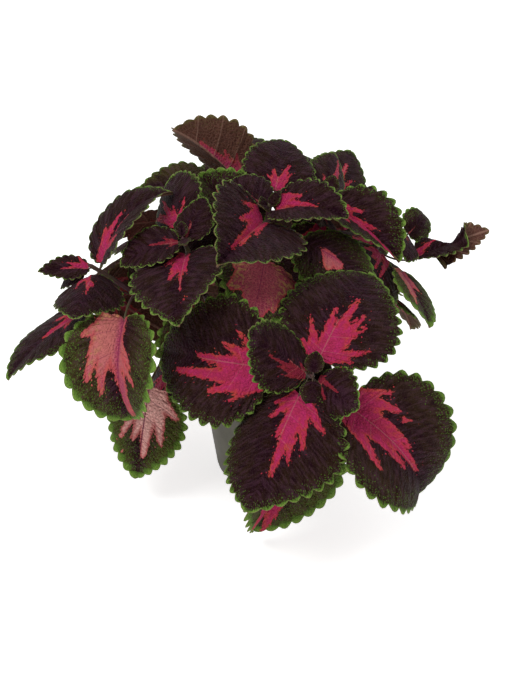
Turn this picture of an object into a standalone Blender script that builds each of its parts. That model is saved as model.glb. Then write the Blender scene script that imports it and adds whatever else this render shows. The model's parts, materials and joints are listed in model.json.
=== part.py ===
"""A potted coleus: a plastic nursery pot, its soil, and leafy stems that rise from it and lean outwards.

The origin is the centre of the pot's underside, +Z is up, and the side that faces the viewer is -Y.
Lengths below are millimetres and angles are degrees. Headings run from +X (0) through +Y (90), the far side.
"""

import math
from dataclasses import dataclass, field

import bmesh
import bpy
import numpy as np

MM = 0.001

# Pot
POT_HEIGHT = 108
POT_FOOT_RADIUS = 47
POT_RIM_RADIUS = 65
POT_WALL = 1.6
POT_FLOOR = 2.2
RIM_BAND_HEIGHT = 14
RIM_BAND_STEP = 2.5
BAND_CHAMFER = 2
BAND_TAPER = 0.6
LIP_EDGE = 0.9
FOOT_ROUNDING = 4
ROUNDING_INSET = 0.3
POT_SIDES = 36
DRAIN_HOLES = 6
DRAIN_RADIUS = 4
DRAIN_RING = 34
DRAIN_SIDES = 8

# Soil
SOIL_TOP = 92
SOIL_GAP = 0.3
SOIL_CROWN = 3
SOIL_RINGS = 4
SOIL_RIPPLE = 0.75
RIPPLE_LENGTH = 6.5
HOLE_DEPTH = 34
HOLE_GAP = 0.6
HOLE_END_GAP = 1.2
HOLE_STEPS = 4

# Stems and leaf stalks
STEM_FOOT_RADIUS = 3.8
STEM_TOP_RADIUS = 1.8
STEM_STEPS = 9
STEM_SIDES = 4
STALK_LIFT = 0.4
STALK_BEND = 0.45
STALK_BASE_WIDTH = 2.0
STALK_STEPS = (0.8, 0.45, 0)
STALK_WIDTHS = (2.2, 2.2, 1.5)
STALK_FLATNESS = 0.85
SHORT_STALK = 12
STOUTNESS_OF_SMALLEST = 0.55
LENGTH_OF_STOUTEST = 220

# Blades
BLADE_THICKNESS = 0.8
ARCH = 12
BEND_STEPS = 24
BEND_POWER = 1.5
WIDEST_AT = 0.38
BASE_FULLNESS = 0.55
BASE_NOTCH = 0.3
NOTCH_REACH = 0.08
VEIN_SWEEP = 1.6
MIDDLE_COLUMN = 0.55
TOOTH_HEIGHT = 0.042
TOOTH_CREST = 0.62
TOOTH_LEAN = 0.62


@dataclass
class Leaf:
    """One leaf: how far below the stem's tip it grows, where it points, and how its blade is shaped."""

    name: str
    drop: float
    heading: float
    rise: float
    length: float
    stalk: float = 20
    width: float = 0.88
    bend: float = 30
    fold: float = 0
    roll: float = 0
    stalk_way: tuple = None

    @property
    def teeth(self):
        return 10 if self.length >= 88 else 8 if self.length >= 58 else 6 if self.length >= 35 else 4


@dataclass
class Shoot:
    """A leafy stem: where it stands in the soil, the point it bends towards, its tip, and its leaves."""

    name: str
    foot: tuple
    knee: tuple
    tip: tuple
    leaves: list = field(default_factory=list)


def unit(vector):
    vector = np.asarray(vector, float)
    return vector / np.linalg.norm(vector)


def direction(heading, rise):
    turn, lift = math.radians(heading), math.radians(rise)
    level = math.cos(lift)
    return np.array([level * math.cos(turn), level * math.sin(turn), math.sin(lift)])


def turned(vector, axis, angle):
    """The vector turned about a unit axis by an angle in degrees."""
    cos, sin = math.cos(math.radians(angle)), math.sin(math.radians(angle))
    return vector * cos + np.cross(axis, vector) * sin + axis * (axis @ vector) * (1 - cos)


def curve_point(start, middle, end, t):
    t = np.asarray(t, float)[..., None]
    return (1 - t) ** 2 * np.asarray(start) + 2 * t * (1 - t) * np.asarray(middle) + t**2 * np.asarray(end)


def stem_curve(shoot):
    """The stem's centre line, from the bottom of its hole in the soil to its tip."""
    foot = np.array([*shoot.foot, SOIL_TOP - HOLE_DEPTH + 1.0])
    return foot, np.array(shoot.knee, float), np.array(shoot.tip, float)


def stem_node(shoot, drop):
    """The point on the stem this far below its tip, and the stem's direction there."""
    line = curve_point(*stem_curve(shoot), np.linspace(1, 0, 200))
    steps = np.linalg.norm(np.diff(line, axis=0), axis=1)
    index = min(int(np.searchsorted(np.cumsum(steps), drop)), len(steps) - 1)
    return line[index], unit(line[index] - line[index + 1])


class Blade:
    """Maps the flat leaf, x along the midrib and y across it, to its place on the plant."""

    def __init__(self, shoot, leaf):
        self.leaf = leaf
        self.node, axis = stem_node(shoot, leaf.drop)
        self.forward = direction(leaf.heading, leaf.rise)
        outward = unit(self.forward - (axis @ self.forward) * axis)
        stalk_way = direction(*leaf.stalk_way) if leaf.stalk_way else unit(outward + STALK_LIFT * axis)
        self.base = self.node + leaf.stalk * stalk_way
        upward = axis - (axis @ self.forward) * self.forward
        self.upward = turned(unit(upward), self.forward, leaf.roll)
        self.stoutness = min(1, STOUTNESS_OF_SMALLEST + leaf.length / LENGTH_OF_STOUTEST)

    def stalk_rings(self):
        """The corners of the stalk's cross-sections, from near the blade's base to inside the stem."""
        bend = self.base - self.forward * self.leaf.stalk * STALK_BEND
        is_long = self.leaf.stalk > SHORT_STALK
        steps, widths = (STALK_STEPS, STALK_WIDTHS) if is_long else (STALK_STEPS[-1:], STALK_WIDTHS[-1:])
        centres = curve_point(self.node, bend, self.base, [1, *steps])
        up, rings = self.upward, []
        for centre, before, width in zip(centres[1:], centres, widths):
            ahead = unit(before - centre)
            up = unit(up - (up @ ahead) * ahead)
            across = np.cross(up, ahead) * width / 2 * self.stoutness
            above = up * width / 2 * STALK_FLATNESS * self.stoutness
            rings.append(centre + np.array([across + above, above - across, -across - above, across - above]))
        return rings

    def place(self, x, y, lift=0.0):
        """Points of the bent blade, lifted off its middle surface by this much."""
        leaf = self.leaf
        x, y, lift = np.broadcast_arrays(np.asarray(x, float), np.asarray(y, float), lift)
        steps = (np.arange(BEND_STEPS) + 0.5) / BEND_STEPS

        # Along the midrib the blade turns down more and more.
        along = np.clip(x / leaf.length, 0, 1)
        pitch = -math.radians(leaf.bend) * (along[..., None] * steps) ** BEND_POWER
        ahead = leaf.length * (np.cos(pitch).mean(-1) * along + np.minimum(x / leaf.length, 0))
        above = leaf.length * np.sin(pitch).mean(-1) * along
        middle = self.base + ahead[..., None] * self.forward + above[..., None] * self.upward
        here = (-math.radians(leaf.bend) * along**BEND_POWER)[..., None]
        normal = np.cos(here) * self.upward - np.sin(here) * self.forward
        side = np.cross(self.upward, self.forward)

        # Across it each half stands up at the fold and arches back towards the margin.
        out = np.abs(y) / (leaf.width * leaf.length / 2)
        fold, arch = math.radians(leaf.fold), math.radians(ARCH)
        tilt = fold - arch * out[..., None] * steps * 2
        sideways = np.cos(tilt).mean(-1) * y
        raised = np.sin(tilt).mean(-1) * np.abs(y)
        surface = middle + sideways[..., None] * side + raised[..., None] * normal
        edge_tilt = (np.sign(y) * (fold - arch * out * 2))[..., None]
        face = np.cos(edge_tilt) * normal - np.sin(edge_tilt) * side
        return surface + lift[..., None] * face


def smooth_margin(t):
    """Half the toothless outline of a blade one long and one wide, from the stalk at 0 to the tip at 1."""
    t = np.asarray(t, float)
    x = t - BASE_NOTCH * np.sqrt(t) * np.exp(-t / NOTCH_REACH)
    tip_sharpness = BASE_FULLNESS * (1 - WIDEST_AT) / WIDEST_AT
    y = (t / WIDEST_AT) ** BASE_FULLNESS * ((1 - t) / (1 - WIDEST_AT)) ** tip_sharpness
    return x, y


def margin(leaf):
    """The toothed half outline: parameter, x and y of each valley and crest, from the stalk to the tip."""
    half = leaf.width * leaf.length / 2
    fine = np.linspace(0, 1, 600) ** 2
    x, y = smooth_margin(fine)
    x, y = x * leaf.length, y * half
    run = np.concatenate([[0], np.cumsum(np.hypot(np.diff(x), np.diff(y)))])
    tooth = np.arange(leaf.teeth)
    stops = np.sort(np.concatenate([tooth, tooth + TOOTH_LEAN, [leaf.teeth]])) / leaf.teeth
    t = np.interp(stops * run[-1], run, fine)
    mx, my = smooth_margin(t)
    mx, my = mx * leaf.length, my * half
    dx, dy = np.gradient(mx), np.gradient(my)
    size = np.hypot(dx, dy)
    height = TOOTH_HEIGHT * leaf.length * np.sin(np.pi * np.clip(stops, 0.04, 0.97)) ** 0.5
    offset = np.where(np.arange(len(t)) % 2 == 1, TOOTH_CREST, TOOTH_CREST - 1) * height
    offset[[0, -1]] = 0
    return t, mx - offset * dy / size, my + offset * dx / size


def strip(first, second):
    """Triangles between two rows of (position along the row, index) pairs that share their ends."""
    faces, i, j = [], 0, 0
    while i < len(first) - 1 or j < len(second) - 1:
        if j == len(second) - 1 or (i < len(first) - 1 and first[i + 1][0] <= second[j + 1][0]):
            faces.append((first[i][1], first[i + 1][1], second[j][1]))
            i += 1
        else:
            faces.append((first[i][1], second[j + 1][1], second[j][1]))
            j += 1
    return [face for face in faces if len(set(face)) == 3]


def leaf_mesh(blade):
    """Points and faces of one leaf: two alike faces, a wall round the teeth, and the stalk behind it."""
    leaf = blade.leaf
    t, mx, my = margin(leaf)
    count = len(t)
    my[0] = STALK_BASE_WIDTH / 2 * blade.stoutness
    ribs = np.arange(4, count - 3, 4) if leaf.teeth > 4 else np.array([4])
    rib_x = leaf.length * t[ribs] ** VEIN_SWEEP
    has_column = leaf.teeth > 8
    x, y = list(mx), list(my)
    if has_column:
        x += list(rib_x + MIDDLE_COLUMN * (mx[ribs] - rib_x))
        y += list(MIDDLE_COLUMN * my[ribs])
    middle_start = len(x)
    x += list(rib_x)
    y += [0.0] * len(ribs)

    # Rows of (position, index) from the margin to the midrib, joined by strips of triangles.
    outline = [(t[k], k) for k in range(count)]
    rows = [outline]
    starts = [count, middle_start] if has_column else [middle_start]
    for start in starts:
        inner = [(t[k], start + n) for n, k in enumerate(ribs)]
        rows.append([outline[0], *inner, outline[-1]])
    left = [face for outer, inner in zip(rows, rows[1:]) for face in strip(outer, inner)]
    own = [k for k in range(middle_start) if k != count - 1]
    twin = {k: len(x) + n for n, k in enumerate(own)}
    x = np.array(x + [x[k] for k in own])
    y = np.array(y + [-y[k] for k in own])
    right = [tuple(twin.get(k, k) for k in reversed(face)) for face in left]
    sheet = [*left, *right, (0, middle_start, twin[0])]
    top = blade.place(x, y, BLADE_THICKNESS / 2)
    bottom = blade.place(x, y, -BLADE_THICKNESS / 2)
    size = len(x)
    faces = [tuple(reversed(face)) for face in sheet]
    faces += [tuple(k + size for k in face) for face in sheet]
    ring = list(range(count)) + [twin[k] for k in range(count - 2, -1, -1)]
    for a, b in zip(ring, ring[1:]):
        faces += [(a, b, b + size), (a, b + size, a + size)]

    # The stalk's rings of four corners run back from the blade's base to the stem.
    base = [0, twin[0], twin[0] + size, size]
    stalk = blade.stalk_rings()
    for k, corners in enumerate(stalk):
        start = 2 * size + 4 * k
        here = [start, start + 1, start + 2, start + 3]
        for i in range(4):
            j = (i + 1) % 4
            faces += [(base[i], base[j], here[j]), (base[i], here[j], here[i])]
        base = here
    faces += [(base[0], base[1], base[2]), (base[0], base[2], base[3])]
    return np.vstack([top, bottom, *stalk]), faces


def sweep(line, radii, sides, start_turn=0.0):
    """A closed tube of few sides along a line of points."""
    line = np.asarray(line, float)
    ahead = np.gradient(line, axis=0)
    across = unit(np.cross(ahead[0], [0.3, 0.9, 0.2]))
    points = []
    for centre, along, radius in zip(line, ahead, radii):
        along = unit(along)
        across = unit(across - (across @ along) * along)
        beside = np.cross(along, across)
        for k in range(sides):
            angle = start_turn + 2 * math.pi * k / sides
            points.append(centre + radius * (math.cos(angle) * across + math.sin(angle) * beside))
    faces = []
    for ring in range(len(line) - 1):
        for k in range(sides):
            a, b = ring * sides + k, ring * sides + (k + 1) % sides
            faces += [(a, b, b + sides), (a, b + sides, a + sides)]
    last = (len(line) - 1) * sides
    for k in range(1, sides - 1):
        faces += [(0, k + 1, k), (last, last + k, last + k + 1)]
    return np.array(points), faces


def stem_line(shoot):
    return curve_point(*stem_curve(shoot), np.linspace(0, 1, STEM_STEPS))


def stem_mesh(shoot):
    radii = np.linspace(STEM_FOOT_RADIUS, STEM_TOP_RADIUS, STEM_STEPS)
    return sweep(stem_line(shoot), radii, STEM_SIDES)


SHOOTS = [
    Shoot("front_right", foot=(10, -14), knee=(20, -72, 146), tip=(40, -140, 178), leaves=[
        Leaf("bud_up", 2, 75, 62, 19, stalk=3, width=0.9, bend=30, fold=15, roll=-30),
        Leaf("bud_down", 2, -90, -45, 23, stalk=5, width=0.95, bend=65),
        Leaf("second_left", 8, 202, 44, 72, stalk=6, width=0.9, bend=0, roll=16, fold=-15),
        Leaf("second_right", 8, -55, 0, 51, stalk=9, width=0.92, bend=15, roll=24, fold=-5),
        Leaf("third_up", 16, 55, 40, 112, stalk=19, width=0.98, bend=54, roll=-22),
        Leaf("third_down", 16, -118, -32, 113, stalk=20, width=0.99, bend=5, roll=40, fold=-10),
        Leaf("fourth_left", 36, 172, 5, 112, stalk=37, width=0.98, bend=60, roll=-9, fold=10),
        Leaf("fourth_right", 36, -26, -25, 120, stalk=51, width=1.04, bend=86, roll=-17, fold=22),
        Leaf("fifth_down", 70, -109, -66, 118, stalk=38, width=0.98, bend=42, roll=-32, fold=29),
        Leaf("fifth_up", 80, 68, 31, 87, stalk=85, width=0.9, bend=40, roll=20, fold=-6, stalk_way=(45, 60)),
    ]),
    Shoot("crown", foot=(0, 3), knee=(0, 30, 180), tip=(3, 5, 276), leaves=[
        Leaf("bud_left", 2, 240, 25, 18, stalk=2, bend=5, roll=-40, fold=20),
        Leaf("bud_right", 2, 10, 60, 16, stalk=2),
        Leaf("second_left", 8, 140, 25, 50, stalk=6, fold=30),
        Leaf("second_right", 8, -35, 25, 74, stalk=8, width=0.75, bend=60, roll=15, fold=30),
        Leaf("third_front", 18, -105, 10, 100, width=0.98, bend=35, roll=-30, fold=35),
        Leaf("third_back", 18, 75, 40, 75, stalk=32, width=0.95, bend=50, roll=15),
        Leaf("fourth_left", 45, 140, 35, 80, bend=20, roll=-10, fold=40),
        Leaf("fourth_right", 45, -30, -10, 90, stalk=40, bend=60, roll=10),
        Leaf("fifth_front", 60, -95, -10, 85, stalk=40, width=0.95, bend=25, roll=-25, fold=10),
        Leaf("fifth_back", 75, 75, -80, 95, stalk=35, bend=45),
    ]),
    Shoot("right_back", foot=(20, 20), knee=(35, 55, 175), tip=(60, 55, 270), leaves=[
        Leaf("bud", 2, 60, 50, 18, stalk=2),
        Leaf("second_back", 8, 75, 25, 65, stalk=4, width=0.8, bend=20, roll=30, fold=-10),
        Leaf("second_front", 8, -110, 10, 55, stalk=10, width=0.8, bend=35, roll=30),
        Leaf("third_front", 16, -35, -15, 87, stalk=7, width=0.9, bend=35, roll=20, fold=40),
        Leaf("third_back", 16, 115, 30, 95, stalk=10, bend=40),
        Leaf("fourth_back", 40, 70, 20, 90, stalk=45, bend=15, roll=20, fold=-10),
        Leaf("fourth_front", 40, -105, -45, 90, stalk=18, bend=80, roll=-10),
        Leaf("fifth_right", 75, -70, -25, 100, stalk=40, bend=50),
    ]),
    Shoot("left", foot=(-12, -8), knee=(-50, 0, 170), tip=(-73, -40, 262), leaves=[
        Leaf("bud_up", 2, 100, 50, 14, stalk=2, bend=10, fold=30),
        Leaf("bud_down", 2, -80, 10, 14, stalk=2),
        Leaf("second_left", 7, 190, -5, 58, stalk=6, width=0.8, bend=50, fold=15),
        Leaf("second_right", 7, 60, 50, 44, stalk=3, width=0.85, bend=25),
        Leaf("third_front", 18, -95, -5, 92, stalk=11, width=0.98, roll=5, fold=20),
        Leaf("third_back", 18, 105, 25, 70, stalk=31, width=0.85, roll=-30),
        Leaf("fourth_left", 42, 150, -45, 75, stalk=30, bend=35, roll=-60, fold=-10),
        Leaf("fourth_right", 42, 10, -40, 85, stalk=25, bend=40),
        Leaf("fifth_front", 75, -85, -45, 95, stalk=25, bend=40, roll=-15),
        Leaf("fifth_back", 75, 95, -40, 95, stalk=30, bend=45),
    ]),
    Shoot("far_left", foot=(-24, 8), knee=(-75, 5, 160), tip=(-162, -15, 225), leaves=[
        Leaf("second_left", 5, 190, 5, 46, stalk=4, width=0.6, bend=15, roll=-20, fold=20),
        Leaf("second_front", 5, -170, -15, 30, stalk=8, width=0.8, bend=55, roll=-5),
        Leaf("third_front", 14, -100, 8, 76, stalk=10, width=0.92, bend=38, roll=-52, fold=-18),
        Leaf("third_back", 14, 35, 65, 98, stalk=8, width=0.78, bend=72, roll=4, fold=20),
        Leaf("fourth_left", 38, -150, -20, 100, stalk=37, width=0.8, bend=28, roll=-5, fold=8),
        Leaf("fourth_back", 38, 50, -55, 90, bend=50),
        Leaf("fifth_front", 60, -102, -38, 97, stalk=75, width=1.02, bend=85, roll=-28, fold=33,
             stalk_way=(-95, 10)),
        Leaf("fifth_back", 60, 120, -35, 100, stalk=35, bend=40),
    ]),
    Shoot("low_left", foot=(-18, -22), knee=(-52, -30, 142), tip=(-98, -52, 150), leaves=[
        Leaf("second_back", 10, 60, 30, 55, stalk=8),
        Leaf("second_front", 10, -120, -70, 88, stalk=35, width=0.9, bend=10, roll=-45),
        Leaf("third_left", 35, 165, -50, 80, bend=40),
    ]),
    Shoot("right", foot=(28, 2), knee=(62, 42, 150), tip=(124, 74, 226), leaves=[
        Leaf("second_back", 6, 85, 45, 28, stalk=4, bend=35, roll=-30),
        Leaf("second_front", 6, -75, -5, 48, stalk=17, bend=45),
        Leaf("curled", 8, 33, 30, 42, stalk=32, width=0.85, bend=80, roll=50),
        Leaf("third_right", 28, 15, 18, 81, stalk=41, width=0.5, bend=8, roll=30, fold=26),
        Leaf("third_left", 28, 200, 25, 47, stalk=8, roll=-15),
        Leaf("fourth_front", 40, -95, -5, 80, stalk=25, bend=35, roll=-10),
        Leaf("fourth_back", 40, 100, -60, 80, stalk=6, bend=45, roll=35),
        Leaf("fifth_front", 50, -60, -25, 66, stalk=42, bend=20, roll=10, fold=10),
        Leaf("fifth_back", 70, 35, -35, 85, stalk=30, bend=40),
    ]),
    Shoot("back_left", foot=(-3, 36), knee=(-5, 75, 175), tip=(-25, 110, 272), leaves=[
        Leaf("bud", 2, 90, 60, 20, stalk=2),
        Leaf("second_right", 7, 5, 10, 60, stalk=8, roll=20),
        Leaf("second_left", 12, 190, 50, 86, stalk=8, width=0.98, roll=20, fold=40),
        Leaf("third_back", 20, 95, 25, 100, stalk=15, bend=50),
        Leaf("third_front", 20, -95, -10, 70, stalk=15, bend=40),
        Leaf("fourth_left", 40, 170, 22, 75, stalk=37, width=0.95, bend=47, roll=-28, fold=30),
        Leaf("fourth_right", 40, -5, -10, 95, stalk=25, bend=60, roll=15),
        Leaf("fifth_back", 75, 75, -55, 100, stalk=30, bend=95, roll=-15),
    ]),
    Shoot("back_right", foot=(20, 34), knee=(36, 54, 172), tip=(95, 140, 205), leaves=[
        Leaf("bud", 2, 50, 50, 20, stalk=2),
        Leaf("second_left", 8, 155, 30, 60, stalk=12, roll=-5),
        Leaf("second_right", 8, -30, 5, 60, stalk=8, roll=10),
        Leaf("third_back", 20, 60, 10, 105, stalk=18, bend=45),
        Leaf("third_front", 20, -165, -35, 85, stalk=8, bend=0),
        Leaf("fourth_left", 42, 140, -15, 105, stalk=30, bend=45),
        Leaf("fourth_right", 42, -20, -20, 100, stalk=30, bend=45, roll=20),
        Leaf("fifth_back", 75, 55, -15, 100, stalk=50, bend=50, roll=-5),
    ]),
    Shoot("far_back", foot=(-16, 24), knee=(-45, 58, 165), tip=(-95, 125, 215), leaves=[
        Leaf("bud", 2, 130, 50, 20, stalk=2),
        Leaf("second_left", 8, -160, 10, 60, stalk=8),
        Leaf("second_right", 8, 25, 15, 60, stalk=8, bend=25),
        Leaf("third_back", 20, 125, -10, 110, stalk=18, bend=45),
        Leaf("third_front", 20, -70, 10, 85, stalk=18, bend=45),
        Leaf("fourth_left", 42, -170, -15, 100, stalk=30, bend=40),
        Leaf("fourth_right", 42, 35, -15, 100, stalk=30, bend=40),
        Leaf("fifth_back", 75, 110, -25, 100, stalk=35, bend=40),
    ]),
]


def material(name, colour, roughness):
    finish = bpy.data.materials.new(name)
    finish.use_nodes = True
    shader = finish.node_tree.nodes["Principled BSDF"]
    shader.inputs["Base Color"].default_value = (*colour, 1)
    shader.inputs["Roughness"].default_value = roughness
    shader.inputs["Metallic"].default_value = 0
    return finish


def piece(name, points, faces, finish):
    """One object from points in millimetres."""
    mesh = bpy.data.meshes.new(name)
    mesh.from_pydata([tuple(point * MM) for point in np.asarray(points, float)], [], faces)
    shape = bmesh.new()
    shape.from_mesh(mesh)
    bmesh.ops.recalc_face_normals(shape, faces=shape.faces)
    shape.to_mesh(mesh)
    shape.free()
    mesh.materials.append(finish)
    made = bpy.data.objects.new(name, mesh)
    bpy.context.scene.collection.objects.link(made)
    return made


def turned_body(profile, sides):
    """Points and faces of a closed turned solid. Its (radius, height) pairs start and end on the axis."""
    points = [(0, 0, profile[0][1])]
    for radius, height in profile[1:-1]:
        for k in range(sides):
            angle = 2 * math.pi * k / sides
            points.append((radius * math.cos(angle), radius * math.sin(angle), height))
    points.append((0, 0, profile[-1][1]))
    rings = len(profile) - 2
    faces = [(0, 1 + k, 1 + (k + 1) % sides) for k in range(sides)]
    for ring in range(rings - 1):
        for k in range(sides):
            a, b = 1 + ring * sides + k, 1 + ring * sides + (k + 1) % sides
            faces.append((a, a + sides, b + sides, b))
    last = 1 + (rings - 1) * sides
    faces += [(last + k, len(points) - 1, last + (k + 1) % sides) for k in range(sides)]
    return points, faces


def boolean(target, tools, operation):
    """Joins the tools to the target or cuts them from it in one step, then removes the tools."""
    group = bpy.data.collections.new(operation.lower())
    bpy.context.scene.collection.children.link(group)
    for tool in tools:
        bpy.context.scene.collection.objects.unlink(tool)
        group.objects.link(tool)
    step = target.modifiers.new(operation.lower(), "BOOLEAN")
    step.operation = operation
    step.solver = "EXACT"
    step.operand_type = "COLLECTION"
    step.collection = group
    bpy.context.view_layer.objects.active = target
    bpy.ops.object.modifier_apply(modifier=step.name)
    for tool in tools:
        bpy.data.objects.remove(tool)
    bpy.data.collections.remove(group)


def smooth(made, angle=35):
    made.data.shade_smooth()
    made.data.set_sharp_from_angle(angle=math.radians(angle))


def outer_radius(height):
    """The pot's outer wall, without its rim band."""
    return POT_FOOT_RADIUS + (POT_RIM_RADIUS - RIM_BAND_STEP - POT_FOOT_RADIUS) * height / POT_HEIGHT


def make_pot():
    """A thin-walled tapered pot with a rim band and a rolled lip, and drain holes in its floor."""
    band = POT_HEIGHT - RIM_BAND_HEIGHT
    lip = outer_radius(POT_HEIGHT) - POT_WALL
    profile = [
        (0, 0),
        (POT_FOOT_RADIUS - FOOT_ROUNDING, 0),
        (POT_FOOT_RADIUS - ROUNDING_INSET * FOOT_ROUNDING, ROUNDING_INSET * FOOT_ROUNDING),
        (outer_radius(FOOT_ROUNDING), FOOT_ROUNDING),
        (outer_radius(band - BAND_CHAMFER), band - BAND_CHAMFER),
        (POT_RIM_RADIUS - BAND_TAPER, band),
        (POT_RIM_RADIUS, POT_HEIGHT - LIP_EDGE),
        (POT_RIM_RADIUS - LIP_EDGE, POT_HEIGHT),
        (lip, POT_HEIGHT),
        (outer_radius(POT_FLOOR) - POT_WALL, POT_FLOOR),
        (0, POT_FLOOR),
    ]
    pot = piece("pot", *turned_body(profile, POT_SIDES), material("pot plastic", (0.14, 0.135, 0.1), 0.45))
    drains = []
    for k in range(DRAIN_HOLES):
        angle = 2 * math.pi * (k + 0.5) / DRAIN_HOLES
        low, high = -POT_FLOOR, 2 * POT_FLOOR
        tube = [(0, low), (DRAIN_RADIUS, low), (DRAIN_RADIUS, high), (0, high)]
        points, faces = turned_body(tube, DRAIN_SIDES)
        shift = np.array([DRAIN_RING * math.cos(angle), DRAIN_RING * math.sin(angle), 0])
        drains.append(piece(f"drain_{k}", np.array(points) + shift, faces, pot.active_material))
    boolean(pot, drains, "DIFFERENCE")
    smooth(pot)
    return pot


def make_soil():
    """The soil fills the pot to below its rim, with an uneven crown and a blind hole for each stem."""
    def wall(height):
        return outer_radius(height) - POT_WALL - SOIL_GAP

    low = POT_FLOOR + SOIL_GAP
    profile = [(0, low), (wall(low), low), (wall(SOIL_TOP), SOIL_TOP)]
    for ring in range(1, SOIL_RINGS):
        share = 1 - ring / SOIL_RINGS
        profile.append((wall(SOIL_TOP) * share, SOIL_TOP + SOIL_CROWN * (1 - share**2)))
    profile.append((0, SOIL_TOP + SOIL_CROWN))
    points, faces = turned_body(profile, POT_SIDES // 2)
    points = np.array(points)
    top = points[:, 2] > SOIL_TOP + SOIL_GAP
    x, y = points[top, 0], points[top, 1]
    points[top, 2] += SOIL_RIPPLE * (np.sin(x / RIPPLE_LENGTH) + np.sin(y / RIPPLE_LENGTH + 1))
    soil = piece("soil", points, faces, material("potting soil", (0.045, 0.028, 0.018), 0.95))
    holes = []
    for shoot in SHOOTS:
        line = stem_line(shoot)[:HOLE_STEPS]
        line[0] -= HOLE_END_GAP * unit(line[1] - line[0])
        hole = sweep(line, np.full(len(line), STEM_FOOT_RADIUS + HOLE_GAP), STEM_SIDES)
        holes.append(piece(f"hole_{shoot.name}", *hole, soil.active_material))
    boolean(soil, holes, "DIFFERENCE")
    smooth(soil, 50)
    return soil


def make_shoot(shoot, finish):
    """A stem with its stalks and leaves, grown together into one solid."""
    stem = piece(f"shoot_{shoot.name}", *stem_mesh(shoot), finish)
    parts = []
    for leaf in shoot.leaves:
        parts.append(piece(f"{shoot.name}_{leaf.name}", *leaf_mesh(Blade(shoot, leaf)), finish))
    boolean(stem, parts, "UNION")
    return stem


def main():
    for old in list(bpy.data.objects):
        bpy.data.objects.remove(old)
    make_pot()
    make_soil()
    leaf_finish = material("coleus leaf", (0.05, 0.012, 0.018), 0.7)
    for shoot in SHOOTS:
        make_shoot(shoot, leaf_finish)


if __name__ == "__main__":
    main()
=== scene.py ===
# %% [markdown]
# # A potted coleus
# This lesson dresses a CAD model of a potted coleus. The CAD gives every stem and leaf its place, with
# plain toothed blades. Here each leafy shoot is built again, finer, from the same named values: scalloped
# teeth, sunken veins with puckered panels between them, and a finish that is painted by node groups.
#
# Lengths are millimetres and angles are degrees until a mesh is made, which is in metres.

# %% Load the frame
import json
import math
from dataclasses import dataclass, field

import bpy
import numpy as np
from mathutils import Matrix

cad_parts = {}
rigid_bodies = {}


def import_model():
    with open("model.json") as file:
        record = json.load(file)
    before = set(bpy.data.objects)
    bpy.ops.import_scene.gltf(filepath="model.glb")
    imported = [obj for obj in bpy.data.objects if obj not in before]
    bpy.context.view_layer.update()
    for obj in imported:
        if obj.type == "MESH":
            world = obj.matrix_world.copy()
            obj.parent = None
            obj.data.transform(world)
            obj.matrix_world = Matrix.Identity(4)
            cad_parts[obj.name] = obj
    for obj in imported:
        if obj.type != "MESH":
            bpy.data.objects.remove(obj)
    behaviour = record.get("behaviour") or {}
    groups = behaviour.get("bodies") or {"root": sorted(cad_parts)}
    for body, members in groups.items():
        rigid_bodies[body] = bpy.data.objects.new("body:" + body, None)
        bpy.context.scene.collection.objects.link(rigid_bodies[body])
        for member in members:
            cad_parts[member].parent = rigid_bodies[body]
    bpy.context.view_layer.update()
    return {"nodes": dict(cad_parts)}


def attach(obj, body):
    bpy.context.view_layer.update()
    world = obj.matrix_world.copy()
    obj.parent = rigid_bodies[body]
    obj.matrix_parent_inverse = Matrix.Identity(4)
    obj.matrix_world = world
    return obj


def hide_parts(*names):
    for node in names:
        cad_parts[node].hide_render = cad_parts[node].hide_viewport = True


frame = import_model()
MM = 0.001
print("CAD nodes:", ", ".join(sorted(frame["nodes"])))

# %% [markdown]
# ## The view and the light
# The plant stands on a plain pale floor. The camera looks down at it from the front, as someone does who
# stands at a table. A long lens from further back keeps the near leaves from looking too large.

# %% Camera
AIM = (-2.5, 0, 128.3)
CAMERA_DISTANCE = 1200
CAMERA_ELEVATION = 28
FOCAL_PIXELS = 1250
PHOTO_HEIGHT = 700
SENSOR = 36

scene = bpy.context.scene
view = bpy.data.cameras.new("view")
view.sensor_width = SENSOR
view.lens = FOCAL_PIXELS / PHOTO_HEIGHT * SENSOR
camera = bpy.data.objects.new("view", view)
lift = math.radians(CAMERA_ELEVATION)
camera.location = (
    AIM[0] * MM,
    (AIM[1] - CAMERA_DISTANCE * math.cos(lift)) * MM,
    (AIM[2] + CAMERA_DISTANCE * math.sin(lift)) * MM,
)
camera.rotation_euler = (math.radians(90) - lift, 0, 0)
scene.collection.objects.link(camera)
scene.camera = camera
print("camera at", [round(value, 3) for value in camera.location], "with a lens of", round(view.lens, 1))

# %% [markdown]
# Behind the plant all is white, as in a light tent. A tent that is as bright as it looks would wash the dark
# leaves out, so the sky and the floor each have two strengths: a dim one that lights the plant, and a bright
# one that the camera sees. One large soft lamp from above the left shoulder gives the leaves their form, and
# two weaker ones lift the right side and the back.


# %% Lamps
def lamp(name, place, size, power):
    """A square soft lamp that points at the middle of the plant."""
    light = bpy.data.lights.new(name, "AREA")
    light.size = size
    light.energy = power
    made = bpy.data.objects.new(name, light)
    made.location = place
    aim = bpy.data.objects.new(name + "_aim", None)
    aim.location = (0, 0, AIM[2] * MM)
    follow = made.constraints.new("TRACK_TO")
    follow.target = aim
    scene.collection.objects.link(made)
    scene.collection.objects.link(aim)


lamp("key", place=(-0.8, -0.9, 1.8), size=0.9, power=20)
lamp("fill", place=(1.4, -1.0, 1.0), size=1.4, power=4)
lamp("back", place=(0.4, 1.5, 1.6), size=1.2, power=6)
print("lamps:", [light.name for light in bpy.data.lights])

# %% The light tent
SKY_STRENGTH = 0.38
SKY_STRENGTH_SEEN = 1.0
WHITE = (1, 1, 1, 1)


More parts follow.
